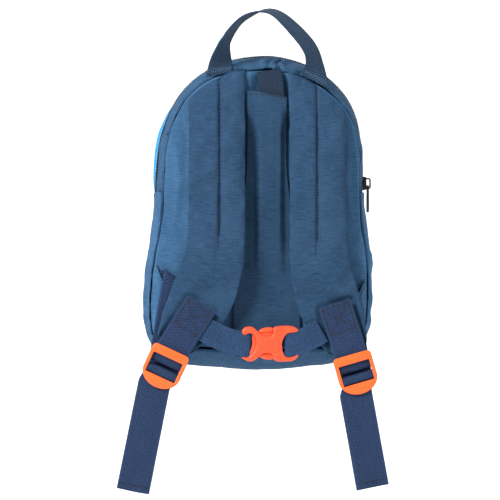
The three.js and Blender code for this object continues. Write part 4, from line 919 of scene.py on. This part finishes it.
def settleCloth(name, bm, heldRule, cap):
    # Blows the padding up under its cover with Blender's cloth, sewn places held, and caps how far a point moves.
    rest = [vert.co.copy() for vert in bm.verts]
    held = [heldRule(vert) for vert in bm.verts]
    holder = placed(name + "Cloth", meshFrom(bm, name + "Cloth"))
    group = holder.vertex_groups.new(name="sewn")
    for index, weight in enumerate(held):
        if weight > 0:
            group.add([index], weight, "REPLACE")
    cloth = holder.modifiers.new("cover", "CLOTH")
    look = cloth.settings
    look.quality = clothLook["quality"]
    look.mass = clothLook["mass"]
    look.tension_stiffness = look.compression_stiffness = clothLook["stiff"]
    look.shear_stiffness = clothLook["shear"]
    look.bending_stiffness = clothLook["bend"]
    look.use_pressure = True
    look.uniform_pressure_force = clothLook["pressure"]
    look.shrink_min = clothLook["grow"]
    look.vertex_group_mass = "sewn"
    look.effector_weights.gravity = 0
    cloth.collision_settings.use_collision = False
    cloth.point_cache.frame_start = 1
    cloth.point_cache.frame_end = clothLook["frames"]
    for step in range(1, clothLook["frames"] + 1):
        bpy.context.scene.frame_set(step)
    fine = taken(holder, evaluated(holder))
    for vert, start in zip(fine.verts, rest):
        move = vert.co - start
        if move.length > cap * mm:
            vert.co = start + move.normalized() * cap * mm
    bpy.context.scene.frame_set(1)
    print(name, "settled")
    return fine


def alongLine(line):
    # Threads that follow a strap: aside from its middle line, and down along it.
    def rule(co):
        x, z = co.x / mm, co.z / mm
        away, place, _ = distanceToLine(x, z, line)
        last = len(line) - 2
        i = min(last, next((k for k in range(len(line) - 1) if line[k + 1][1] < z), last))
        (ax, az), (bx, bz) = line[i], line[i + 1]
        side = (bx - ax) * (z - az) - (bz - az) * (x - ax)
        return math.copysign(away, side) * mm, -place * mm
    return rule


strapForm = {"topCrease": 9, "seamReach": 9, "tuckReach": 14, "tuck": (0, 2.4, 3.2), "heldLow": 4, "heldTop": 2.5,
             "heldSeam": 1.6, "seam": (1.3, -1.5), "patch": (1.9, -2.8), "ruffle": 0.65, "size": 17}


def buildShoulderPad(name, look, seed):
    f = strapForm
    line, shift = look["line"], look["seamShift"]
    coarse = nodeCopy(look["node"], 0.0)
    crease = coarse.edges.layers.float.get("crease_edge")
    top = max(vert.co.z for vert in coarse.verts)
    for edge in coarse.edges:
        high = all(vert.co.z > top - f["topCrease"] * mm for vert in edge.verts)
        if high and edge.calc_face_angle(0) > math.radians(40):
            edge[crease] = 1.0
    for vert in coarse.verts:
        aside = distanceToLine(vert.co.x / mm, vert.co.z / mm, line)[0]
        vert.co.x += shift * mm * math.exp(-(aside / f["seamReach"]) ** 2)
        share = max(0.0, 1 - (top - vert.co.z) / (f["tuckReach"] * mm))
        vert.co += Vector(f["tuck"]) * share ** 1.5 * mm
    bm = refined(coarse, name, 1)
    bm.normal_update()
    middle = [(x + shift, z) for x, z in line if z > look["seamEnd"]]
    lowest = min(v.co.z for v in bm.verts) + f["heldLow"] * mm
    highest = max(v.co.z for v in bm.verts) - f["heldTop"] * mm

    def held(vert):
        # The side seams, both ends and the quilting seam are sewn down.
        if abs(vert.normal.y) < 0.45 or vert.co.z > highest or vert.co.z < lowest:
            return 1.0
        return 1.0 if distanceToLine(vert.co.x / mm, vert.co.z / mm, middle)[0] < f["heldSeam"] else 0.0

    bm = refined(settleCloth(name, bm, held, look["cap"]), name, 1)
    bm.normal_update()
    foldCloth(bm, look["folds"])
    pressSeams(bm, [(middle, *f["seam"]), (look["patch"], *f["patch"])])
    bm.normal_update()
    ruffle(bm, f["ruffle"], f["size"], seed, (1, 1, 1.3))
    mapCloth(bm, alongLine(line))
    piece = newPiece(name, meshFrom(bm, name), "strapCloth", (look["node"],), "blue_cloth")
    softPieces[name] = piece


# Hard pieces are cut from flat outlines in millimetres: across, up, with the front towards the wearer.
def smoothLoop(points, cuts=4):
    # A closed outline through the points, rounded as a spline.
    out = []
    count = len(points)
    for i in range(count):
        a, b, c, d = (Vector(points[(i + k) % count]) for k in (-1, 0, 1, 2))
        for k in range(cuts):
            t = k / cuts
            out.append(0.5 * (2 * b + (c - a) * t + (2 * a - 5 * b + 4 * c - d) * t * t
                              + (3 * b - 3 * c + d - a) * t * t * t))
    return out


def curveShape(loops, bevel, flat=None):
    # The shape of a curve through closed loops of points, as a bmesh. Flat is the thickness of a filled plate.
    curve = bpy.data.curves.new("outline", "CURVE")
    curve.dimensions = "3D"
    curve.bevel_depth = bevel
    curve.bevel_resolution = 2
    if flat:
        curve.dimensions = "2D"
        curve.fill_mode = "BOTH"
        curve.extrude = flat / 2 - bevel
        curve.offset = -bevel
    for loop in loops:
        spline = curve.splines.new("POLY")
        spline.points.add(len(loop) - 1)
        spline.use_cyclic_u = True
        for point, place in zip(spline.points, loop):
            point.co = (*place, 1)
    holder = bpy.data.objects.new("outline", curve)
    return taken(holder, holder)


def plateOf(loops, thick, edge, level=0.0):
    # A flat plate with rounded edges, its holes being the later loops; level is its middle, towards the front.
    bm = curveShape([[(x, z, 0) for x, z in loop] for loop in loops], edge, thick)
    bmesh.ops.remove_doubles(bm, verts=bm.verts, dist=0.004)
    bmesh.ops.transform(bm, matrix=Matrix(((1, 0, 0, 0), (0, 0, -1, -level), (0, 1, 0, 0), (0, 0, 0, 1))),
                        verts=bm.verts)
    bmesh.ops.recalc_face_normals(bm, faces=bm.faces)
    return bm


def roundedBox(size, middle, edge, segments=2):
    bm = bmesh.new()
    bmesh.ops.create_cube(bm, size=1)
    bmesh.ops.scale(bm, verts=bm.verts, vec=size)
    bmesh.ops.bevel(bm, geom=bm.edges[:], offset=edge, offset_type="OFFSET", affect="EDGES", segments=segments,
                    profile=0.5, material=-1, clamp_overlap=True)
    bmesh.ops.translate(bm, verts=bm.verts, vec=middle)
    return bm


def hardPiece(name, parts, at, turn, material, node, slot):
    # One piece of several parts, each freed.
    bm = bmesh.new()
    for part in parts:
        mesh = meshFrom(part, "part")
        bm.from_mesh(mesh)
        bpy.data.meshes.remove(mesh)
    place = Matrix.Scale(mm, 4) @ Matrix.Translation(at) @ Matrix.Rotation(math.radians(turn), 4, "Y")
    bmesh.ops.transform(bm, matrix=place, verts=bm.verts)
    piece = newPiece(name, meshFrom(bm, name), material, (node,), slot)
    piece.data.set_sharp_from_angle(angle=math.radians(42))


lockTable = {
    "ladderLockLeft": ("ladder_lock_left", (-71.6, 0, -259.2), 25.0),
    "ladderLockRight": ("ladder_lock_right", (64.4, 0, -263.1), -16.0),
}
# Each bar: how far below the top, how far towards the wearer, and how high. Each rib: size, edge, gap and place.
lockShape = {"half": 14.9, "long": 31.0, "corner": 3.2, "windowTop": 6.9, "windowHalf": 12.05, "windowCorner": 0.7,
             "lip": 8.5, "thick": 2.2, "edge": 0.75, "face": 18.2, "upperBar": (11.0, 14.1, 2.2),
             "lowerBar": (18.8, 15.6, 3.5), "sideBar": (2.2, 16.6, 13.2, 1.35),
             "ribs": [((23.3, 0.5, 1.1), 0.22, 1.05, 3.4), ((13, 0.5, 0.9), 0.2, 1.02, 27.6)]}


def lockOutline(s):
    half, long, corner = s["half"], s["long"], s["corner"]
    lipTop = long - s["lip"]
    turns = [math.radians(90 - 15 * k) for k in range(7)]
    rim = [(half - corner + corner * math.cos(a), -corner + corner * math.sin(a)) for a in turns]
    rim += [(half, -lipTop * (0.3 + 0.14 * k)) for k in range(5)]
    p = [(half, -lipTop * 0.86), (half * 0.96, -long * 0.86), (half * 0.5, -long), (0, -long)]
    for k in range(1, 17):
        t = k / 16
        rim.append(tuple((1 - t) ** 3 * p[0][i] + 3 * (1 - t) ** 2 * t * p[1][i] + 3 * (1 - t) * t * t * p[2][i]
                         + t ** 3 * p[3][i] for i in (0, 1)))
    return rim + [(-x, z) for x, z in reversed(rim[:-1])]


def buildLocks():
    s = lockShape
    half, lipTop = s["half"], s["long"] - s["lip"]
    w, t, r = s["windowHalf"], s["windowTop"], s["windowCorner"]
    window = []
    high, low = -t - r, -lipTop + r
    for x, z, start in ((w - r, high, 0), (-w + r, high, 90), (-w + r, low, 180), (w - r, low, 270)):
        turns = [math.radians(start + 30 * k) for k in range(4)]
        window += [(x + r * math.cos(a), z + r * math.sin(a)) for a in turns]
    for name, (node, at, turn) in lockTable.items():
        parts = [plateOf([lockOutline(s), window], s["thick"], s["edge"], s["face"])]
        for below, level, high in (s["upperBar"], s["lowerBar"]):
            parts.append(roundedBox((2 * half - 1.4, 2.2, high), (0, -level, -below), 0.85, 3))
        back = s["upperBar"][1] - 1.1
        deep = s["face"] - back
        wide, high, below, inset = s["sideBar"]
        for side in (-1, 1):
            parts.append(roundedBox((wide, deep, high), (side * (half - inset), -back - deep / 2, -below), 0.6))
        # A faint moulded rib along the top bar and a thumb ridge near the lip's end.
        for size, edge, gap, below in s["ribs"]:
            parts.append(roundedBox(size, (0, -s["face"] - gap, -below), edge))
        hardPiece(name, parts, at, turn, "lockPlastic", node, "orange_plastic")


buckleShape = {
    "at": (2.6, -12.5, -254.7), "seam": 2.05, "thick": 7.4, "edge": 1.15,
    "outline": [
        (-10.6, 10.4), (-8.4, 8.3), (-5.6, 6.1), (-2.4, 5.1), (0.6, 5.5), (2.1, 6.9), (2.5, 9.6), (3.3, 12.1),
        (5.6, 12.9), (10.5, 13.2), (15.6, 13.2), (19.4, 12.1), (21.9, 9.6), (18.4, 8.3), (14.8, 7.9), (12.7, 6.9),
        (10.6, 4.0), (9.4, 0.8), (9.3, -2.8), (9.9, -6.3), (11.2, -9.4), (13.6, -10.7), (17.6, -10.3), (21.6, -8.7),
        (20.8, -11.2), (16.6, -13.5), (10.4, -13.9), (5.0, -13.6), (3.0, -11.9), (2.2, -9.2), (0.4, -7.8),
        (-2.4, -7.3), (-5.6, -8.3), (-8.4, -10.2), (-11.0, -12.4), (-14.6, -13.8), (-18.4, -12.9), (-21.4, -10.5),
        (-18.0, -10.7), (-15.6, -9.9), (-13.2, -7.4), (-11.2, -4.2), (-10.4, -1.0), (-10.5, 2.0), (-11.3, 4.9),
        (-13.0, 7.0), (-16.0, 7.7), (-18.2, 6.6), (-20.3, 6.9), (-21.3, 9.0), (-19.6, 11.6), (-16.2, 12.8),
        (-12.8, 12.2)],
    "prong": [(-8.8, 8.4), (-7.0, 10.6), (-3.6, 11.9), (0.2, 12.1), (2.6, 11.5), (3.0, 9.4), (0.6, 8.4),
              (-2.8, 8.1), (-6.2, 8.0)],
    "lip": [(-12.9, 6.6), (-11.0, 4.6), (-10.0, 0.6), (-10.4, -3.6), (-13.2, -8.2), (-16.0, -10.8),
            (-15.4, -7.6), (-13.9, -3.4), (-13.2, 0.4), (-13.3, 4.0)],
    "floor": [(-9.4, 8.6), (2.0, 8.6), (2.0, -9.4), (-9.4, -9.4)],
    "bars": (-16.4, 13.8),
}


def buildBuckle():
    s = buckleShape
    shell = smoothLoop(s["outline"])
    halves = []
    for keep in (-1, 1):
        body = plateOf([shell], s["thick"], s["edge"])
        geom = body.verts[:] + body.edges[:] + body.faces[:]
        cut = bmesh.ops.bisect_plane(body, geom=geom, plane_co=(s["seam"] + 0.03 * keep, 0, 0),
                                     plane_no=(-keep, 0, 0), clear_outer=True)
        rim = [e for e in cut["geom_cut"] if isinstance(e, bmesh.types.BMEdge)]
        bmesh.ops.holes_fill(body, edges=rim, sides=0)
        bmesh.ops.recalc_face_normals(body, faces=body.faces)
        halves.append([body])
    male, female = halves
    prongs = (s["prong"], [(x, -z * 1.03) for x, z in s["prong"]])
    male += [plateOf([smoothLoop(prong)], 4.6, 1.3) for prong in prongs]
    male += [plateOf([s["floor"]], 2.0, 0.3), plateOf([smoothLoop(s["lip"])], 4.2, 0.9)]
    for x, parts in zip(s["bars"], (male, female)):
        parts.append(roundedBox((2.4, 2.4, 23.4), (x, 0, -0.4), 0.9, 3))
    # Grip ribs on the female half and two rows of faint moulded ribs.
    front = -s["thick"] / 2 - 0.02
    for side in (-1, 1):
        for k in range(4):
            at = (4.6 + 1.5 * k, front, side * (9.9 + 0.3 * k) - 0.3)
            female.append(roundedBox((0.75, 0.5, 4.4 - 0.5 * k), at, 0.2))
    for z in (3.0, 0.2, -2.6, -5.4):
        male.append(roundedBox((9.6, 0.34, 1.1), (-3.2, front, z), 0.15))
        female.append(roundedBox((5.2, 0.34, 1.1), (5.2, front, z), 0.15))
    for name, node, parts in (("buckleMale", "buckle_male", male), ("buckleFemale", "buckle_female", female)):
        hardPiece(name, parts, s["at"], 0.0, "bucklePlastic", node, "red_orange_plastic")


def bevelledCopy(name, node, body, edge=0.25):
    bm = mergedNode(node)
    bmesh.ops.dissolve_limit(bm, angle_limit=math.radians(1.5), verts=bm.verts, edges=bm.edges)
    bmesh.ops.recalc_face_normals(bm, faces=bm.faces)
    piece = newPiece(name, meshFrom(bm, name), "sliderMetal", (node,), "dark_metal", body)
    bevelEdges(piece, edge, 40)
    piece.data.set_sharp_from_angle(angle=math.radians(40))


cordLook = {"radius": 1.25, "inset": 0.9}


def buildSeamCord(name, node, level, material):
    # The turned seam where the back or the front panel meets the side walls.
    ring = [row[2] for row in bagOutline(node)]
    count = len(ring)
    smooth = [(ring[k - 1] + 2 * ring[k] + ring[(k + 1) % count]) / 4 for k in range(count)]
    points = []
    for k in range(count):
        for t in (0.0, 0.5):
            p = smooth[k].lerp(smooth[(k + 1) % count], t)
            p -= (p - Vector(bagMiddle)).normalized() * cordLook["inset"] * mm
            points.append((p.x, level, p.y))
    bm = curveShape([points], cordLook["radius"] * mm)
    bmesh.ops.remove_doubles(bm, verts=bm.verts, dist=0.000004)
    bmesh.ops.recalc_face_normals(bm, faces=bm.faces)
    mapCloth(bm, lambda co: (co.y + co.x * 0.3, co.z + co.x * 0.7))
    newPiece(name, meshFrom(bm, name), material, (), "blue_cloth")


# The zip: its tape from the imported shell, and a coil of small nylon turns along the middle.
zipLook = {"pitch": 1.35, "turnLong": 4.4, "turnThick": 0.95, "turnHigh": 1.3, "lift": 0.12, "tilt": 0.16,
           "middle": 45.0, "crestHalf": 1.6, "seamAside": 6.2, "stitchPitch": 2.5}


def zipLine():
    # The coil's crest from end to end over the top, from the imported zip's own points, in metres.
    bm = mergedNode("main_zip")
    low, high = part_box("main_zip")
    centre = Vector(((low[0] + high[0]) / 2, 0, low[2]))
    crest = {}
    for vert in bm.verts:
        aside = vert.co.y / mm - zipLook["middle"]
        if 0 < aside < zipLook["crestHalf"]:
            out = vert.co - centre
            far = out.x ** 2 + out.z ** 2
            angle = round(math.degrees(math.atan2(out.z, out.x)), 1)
            if angle not in crest or far > crest[angle][0]:
                crest[angle] = (far, Vector((vert.co.x, zipLook["middle"] * mm, vert.co.z)))
    bm.free()
    return [crest[angle][1] for angle in sorted(crest)]


def walk(line, pitch):
    # Places and directions every so far along a polyline.
    rest = 0.0
    for a, b in zip(line, line[1:]):
        length = (b - a).length
        while rest < length:
            yield a.lerp(b, rest / length), (b - a).normalized()
            rest += pitch
        rest -= length


def outwardOf(place, along):
    # Square to the seam and away from the bag's middle.
    out = along.cross(Vector((0, 1, 0)))
    return out if out.dot(place - bagCentre) > 0 else -out


def addBead(bm, place, along, out, long, wide, high):
    # One stitch or coil turn in millimetres: a long bead lying along the seam.
    across = along.cross(out).normalized()
    out = across.cross(along).normalized()
    half = mm / 2
    matrix = Matrix((along * long * half, across * wide * half, out * high * half)).transposed().to_4x4()
    matrix.translation = place
    bmesh.ops.create_uvsphere(bm, u_segments=6, v_segments=4, radius=1, matrix=matrix)


def buildZip(line):
    z = zipLook
    tape = refined(nodeCopy("main_zip", 1.0, 30), "zipTape", 1)
    mapCloth(tape, roundThreads)
    newPiece("zipTape", meshFrom(tape, "zipTape"), "zipTapeCloth", ("main_zip",), "black_zip")
    bm = bmesh.new()
    for k, (place, along) in enumerate(walk(line, z["pitch"] * mm)):
        out = outwardOf(place, along)
        tilt = (Vector((0, 1, 0)) + along * z["tilt"] * (1 if k % 2 else -1)).normalized()
        addBead(bm, place + out * z["lift"] * mm, tilt, out, z["turnLong"], z["turnThick"], z["turnHigh"])
    newPiece("zipCoil", meshFrom(bm, "zipCoil"), "coilNylon", (), "black_zip")


# Stitching: every seam is a row of small thread beads, each sunk a little into the piece below it.
beadLook = {"clothLift": 0.08, "clothHigh": 0.42, "webbingLift": 0.06, "webbingHigh": 0.5}


def surfaceOf(piece):
    return BVHTree.FromObject(piece, bpy.context.evaluated_depsgraph_get())


def clothStitches(bm, name, line, seed, pitch, long, wide, wander):
    # Lays stitches along an (x, z) line in millimetres, cast on to the surface from the wearer's side.
    bvh = surfaceOf(softPieces[name])
    toward = Vector((0, 1, 0))
    points = [Vector((x * mm, -0.2, z * mm)) for x, z in line]
    for k, (place, along) in enumerate(walk(points, pitch * mm)):
        shift = noise.noise(Vector((k * 0.7, seed, 1.3))) * wander * mm
        spot, normal, _, _ = bvh.ray_cast(place + along.cross(toward).normalized() * shift, toward)
        if spot is not None:
            lie = (along - normal * along.dot(normal)).normalized()
            addBead(bm, spot + normal * beadLook["clothLift"] * mm, lie, normal, long, wide, beadLook["clothHigh"])


def stripStitches(bm, name, line, side, pitch, long, wide):
    # Lays stitches on webbing, the line given as (u, v) on the strip in millimetres, on its front or back face.
    strip, bvh = strips[name], surfaceOf(webbingMade[name])
    for place, along in walk([Vector((u, v, 0)) for u, v in line], pitch):
        here = strip.place(place.x, place.y)
        ahead = strip.place(place.x + along.x * 0.5, place.y + along.y * 0.5)
        out = (strip.place(place.x, place.y, side) - here).normalized()
        spot, _, _, _ = bvh.ray_cast((here + out * 2.4) * mm, -out, 0.004)
        if spot is not None:
            addBead(bm, spot + out * beadLook["webbingLift"] * mm, (ahead - here).normalized(), out, long, wide,
                    beadLook["webbingHigh"])


def threadPiece(name, bm, material):
    print(name, len(bm.faces), "faces")
    newPiece(name, meshFrom(bm, name), material, (), "navy_webbing")


# Piece, seam, seed, and then pitch, length, width and wander of its stitches.
clothSeams = [
    ("shoulderPadLeft", [(-35.8, -57.5), (-35.9, -84.7), (-36.3, -130.3), (-36.6, -180.5)], 0, 3.0, 2.3, 1.15, 0.25),
    ("shoulderPadRight", [(39.3, -57.5), (38.7, -84.7), (37.7, -115.1), (37.0, -171.4), (37.4, -187.4)], 1,
     3.0, 2.3, 1.15, 0.25),
    ("centrePad", [(-12.2, -63.9), (1.6, -65.1), (17.7, -68.1)], 5, 2.4, 1.7, 0.9, 0.1),
    ("wingLeft", [(-83.0, -197.4), (-76.4, -212.8), (-80.8, -228.2)], 7, 2.0, 1.5, 0.6, 0.05),
    ("wingRight", [(76.2, -209.0), (72.9, -219.7), (75.5, -231.2)], 8, 2.0, 1.5, 0.6, 0.05),
]
# Pitch, length and width of the stitches on webbing, in millimetres, with the places of their rows.
boxSeam = {"half": 10.4, "top": 2.4, "low": 22.5, "stitch": (2.6, 2.0, 0.95)}
hemSeam = {"half": 11.2, "above": -4.4, "below": 4.6, "stitch": (2.4, 1.9, 1.1)}
handleSeam = {"half": 8.8, "rows": 3, "first": 3.0, "gap": 1.1, "stitch": (1.7, 1.35, 0.6)}
zipSeam = {"long": 1.8, "wide": 0.7, "cast": 12}


def buildStitches(line):
    bm = bmesh.new()
    for name, seam, seed, *stitch in clothSeams:
        clothStitches(bm, name, seam, seed, *stitch)
    threadPiece("strapThread", bm, "navyThread")

    bm = bmesh.new()
    u, top, low = boxSeam["half"], boxSeam["top"], boxSeam["low"]
    frameLine = [(-u, top), (u, top), (u, low), (-u, low), (-u, top)]
    for name in ("sewnLeft", "sewnRight"):
        for seam in (frameLine, [(-u, top), (u, low)], [(u, top), (-u, low)]):
            stripStitches(bm, name, seam, 1, *boxSeam["stitch"])
    threadPiece("boxThread", bm, "brownThread")

    bm = bmesh.new()
    u = hemSeam["half"]
    for name, side in (("adjustLeft", 1), ("adjustRight", -1)):
        strip = strips[name]
        tip = strip.gone[min(range(len(strip.at)), key=lambda i: strip.at[i].z)]
        for v in (tip + hemSeam["above"], tip + hemSeam["below"]):
            stripStitches(bm, name, [(-u, v), (u, v)], side, *hemSeam["stitch"])
    threadPiece("hemThread", bm, "navyThread")

    bm = bmesh.new()
    u = handleSeam["half"]
    for k in range(handleSeam["rows"]):
        inset = handleSeam["first"] + handleSeam["gap"] * k
        for v in (inset, strips["grabHandle"].gone[-1] - inset):
            for side in (1, -1):
                stripStitches(bm, "grabHandle", [(-u, v), (u, v)], side, *handleSeam["stitch"])
    threadPiece("handleThread", bm, "blueThread")

    bm = bmesh.new()
    for name, aside in (("rearWall", -zipLook["seamAside"]), ("frontWall", zipLook["seamAside"])):
        bvh = surfaceOf(softPieces[name])
        for place, along in walk(line, zipLook["stitchPitch"] * mm):
            outward = outwardOf(place, along)
            begin = place + outward * zipSeam["cast"] * mm + Vector((0, aside * mm, 0))
            spot, normal, _, _ = bvh.ray_cast(begin, -outward, 0.02)
            if spot is not None:
                addBead(bm, spot + normal * beadLook["clothLift"] * mm, along, normal, zipSeam["long"],
                        zipSeam["wide"], beadLook["clothHigh"])
    threadPiece("zipThread", bm, "navyThread")
    print("stitches made")


# The floor's half size and place, and the curve up from it: steps of so many degrees, and then the wall.
stageShape = {"half": 4, "at": (0, -2.2, -0.75), "steps": 9, "degrees": 10, "step": 0.09, "wall": 3.5}
stageLooks = (("paleFloor", 0.12, 0.82), ("paleWall", 0.5, 0.9))


def raiseEdge(bm, edges, move):
    # Extrudes edges along a move and hands back the new ones.
    grown = bmesh.ops.extrude_edge_only(bm, edges=edges)["geom"]
    verts = [v for v in grown if isinstance(v, bmesh.types.BMVert)]
    bmesh.ops.translate(bm, verts=verts, vec=move)
    return [e for e in grown if isinstance(e, bmesh.types.BMEdge) and all(v in verts for v in e.verts)]


def buildStage():
    # A pale floor that curves up into a lit backdrop.
    s = stageShape
    bm = bmesh.new()
    bmesh.ops.create_grid(bm, x_segments=1, y_segments=1, size=s["half"])
    edges = [e for e in bm.edges if all(v.co.y > s["half"] - 1 for v in e.verts)]
    bmesh.ops.translate(bm, verts=bm.verts, vec=s["at"])
    for k in range(s["steps"]):
        turn = math.radians(s["degrees"] * k)
        edges = raiseEdge(bm, edges, (0, s["step"] * math.cos(turn), s["step"] * math.sin(turn)))
    raiseEdge(bm, edges, (0, 0, s["wall"]))
    for name, glow, tint in stageLooks:
        materials[name], _, shader = newMaterial(name)
        setInputs(shader, {"Base Color": (tint, tint, tint, 1), "Roughness": 0.9, "Emission Color": (1, 1, 1, 1),
                           "Emission Strength": glow})
    mesh = meshFrom(bm, "studioSweep")
    sweep = newPiece("studioSweep", mesh, "paleFloor")
    mesh.materials.append(materials["paleWall"])
    for polygon in mesh.polygons:
        polygon.material_index = 1 if polygon.center.z > s["at"][2] + 0.01 else 0


bpy.context.scene.view_settings.view_transform = "Standard"
placeCamera(cameraLook)
placeLights()
buildStage()
buildWebbing(3.1)
for number, (name, look) in enumerate(softLooks.items()):
    buildSoft(name, {**softBase, **look}, 2.0 + 3.7 * number)
print("cloth walls made")
for number, (name, look) in enumerate(strapLooks.items()):
    buildShoulderPad(name, look, 41.0 + 5.3 * number)
print("shoulder straps made")
buildLocks()
buildBuckle()
bevelledCopy("zipSlider", "zip_slider", "bag")
bevelledCopy("zipPull", "zip_pull_tab", "zip_pull")
print("locks, buckle and slider made")
buildSeamCord("backSeamCord", "back_panel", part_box("rear_gusset")[0][1] + 0.5 * mm, "strapCloth")
buildSeamCord("frontSeamCord", "front_panel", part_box("front_gusset")[1][1] - 0.5 * mm, "brightCloth")
crestLine = zipLine()
buildZip(crestLine)
buildStitches(crestLine)
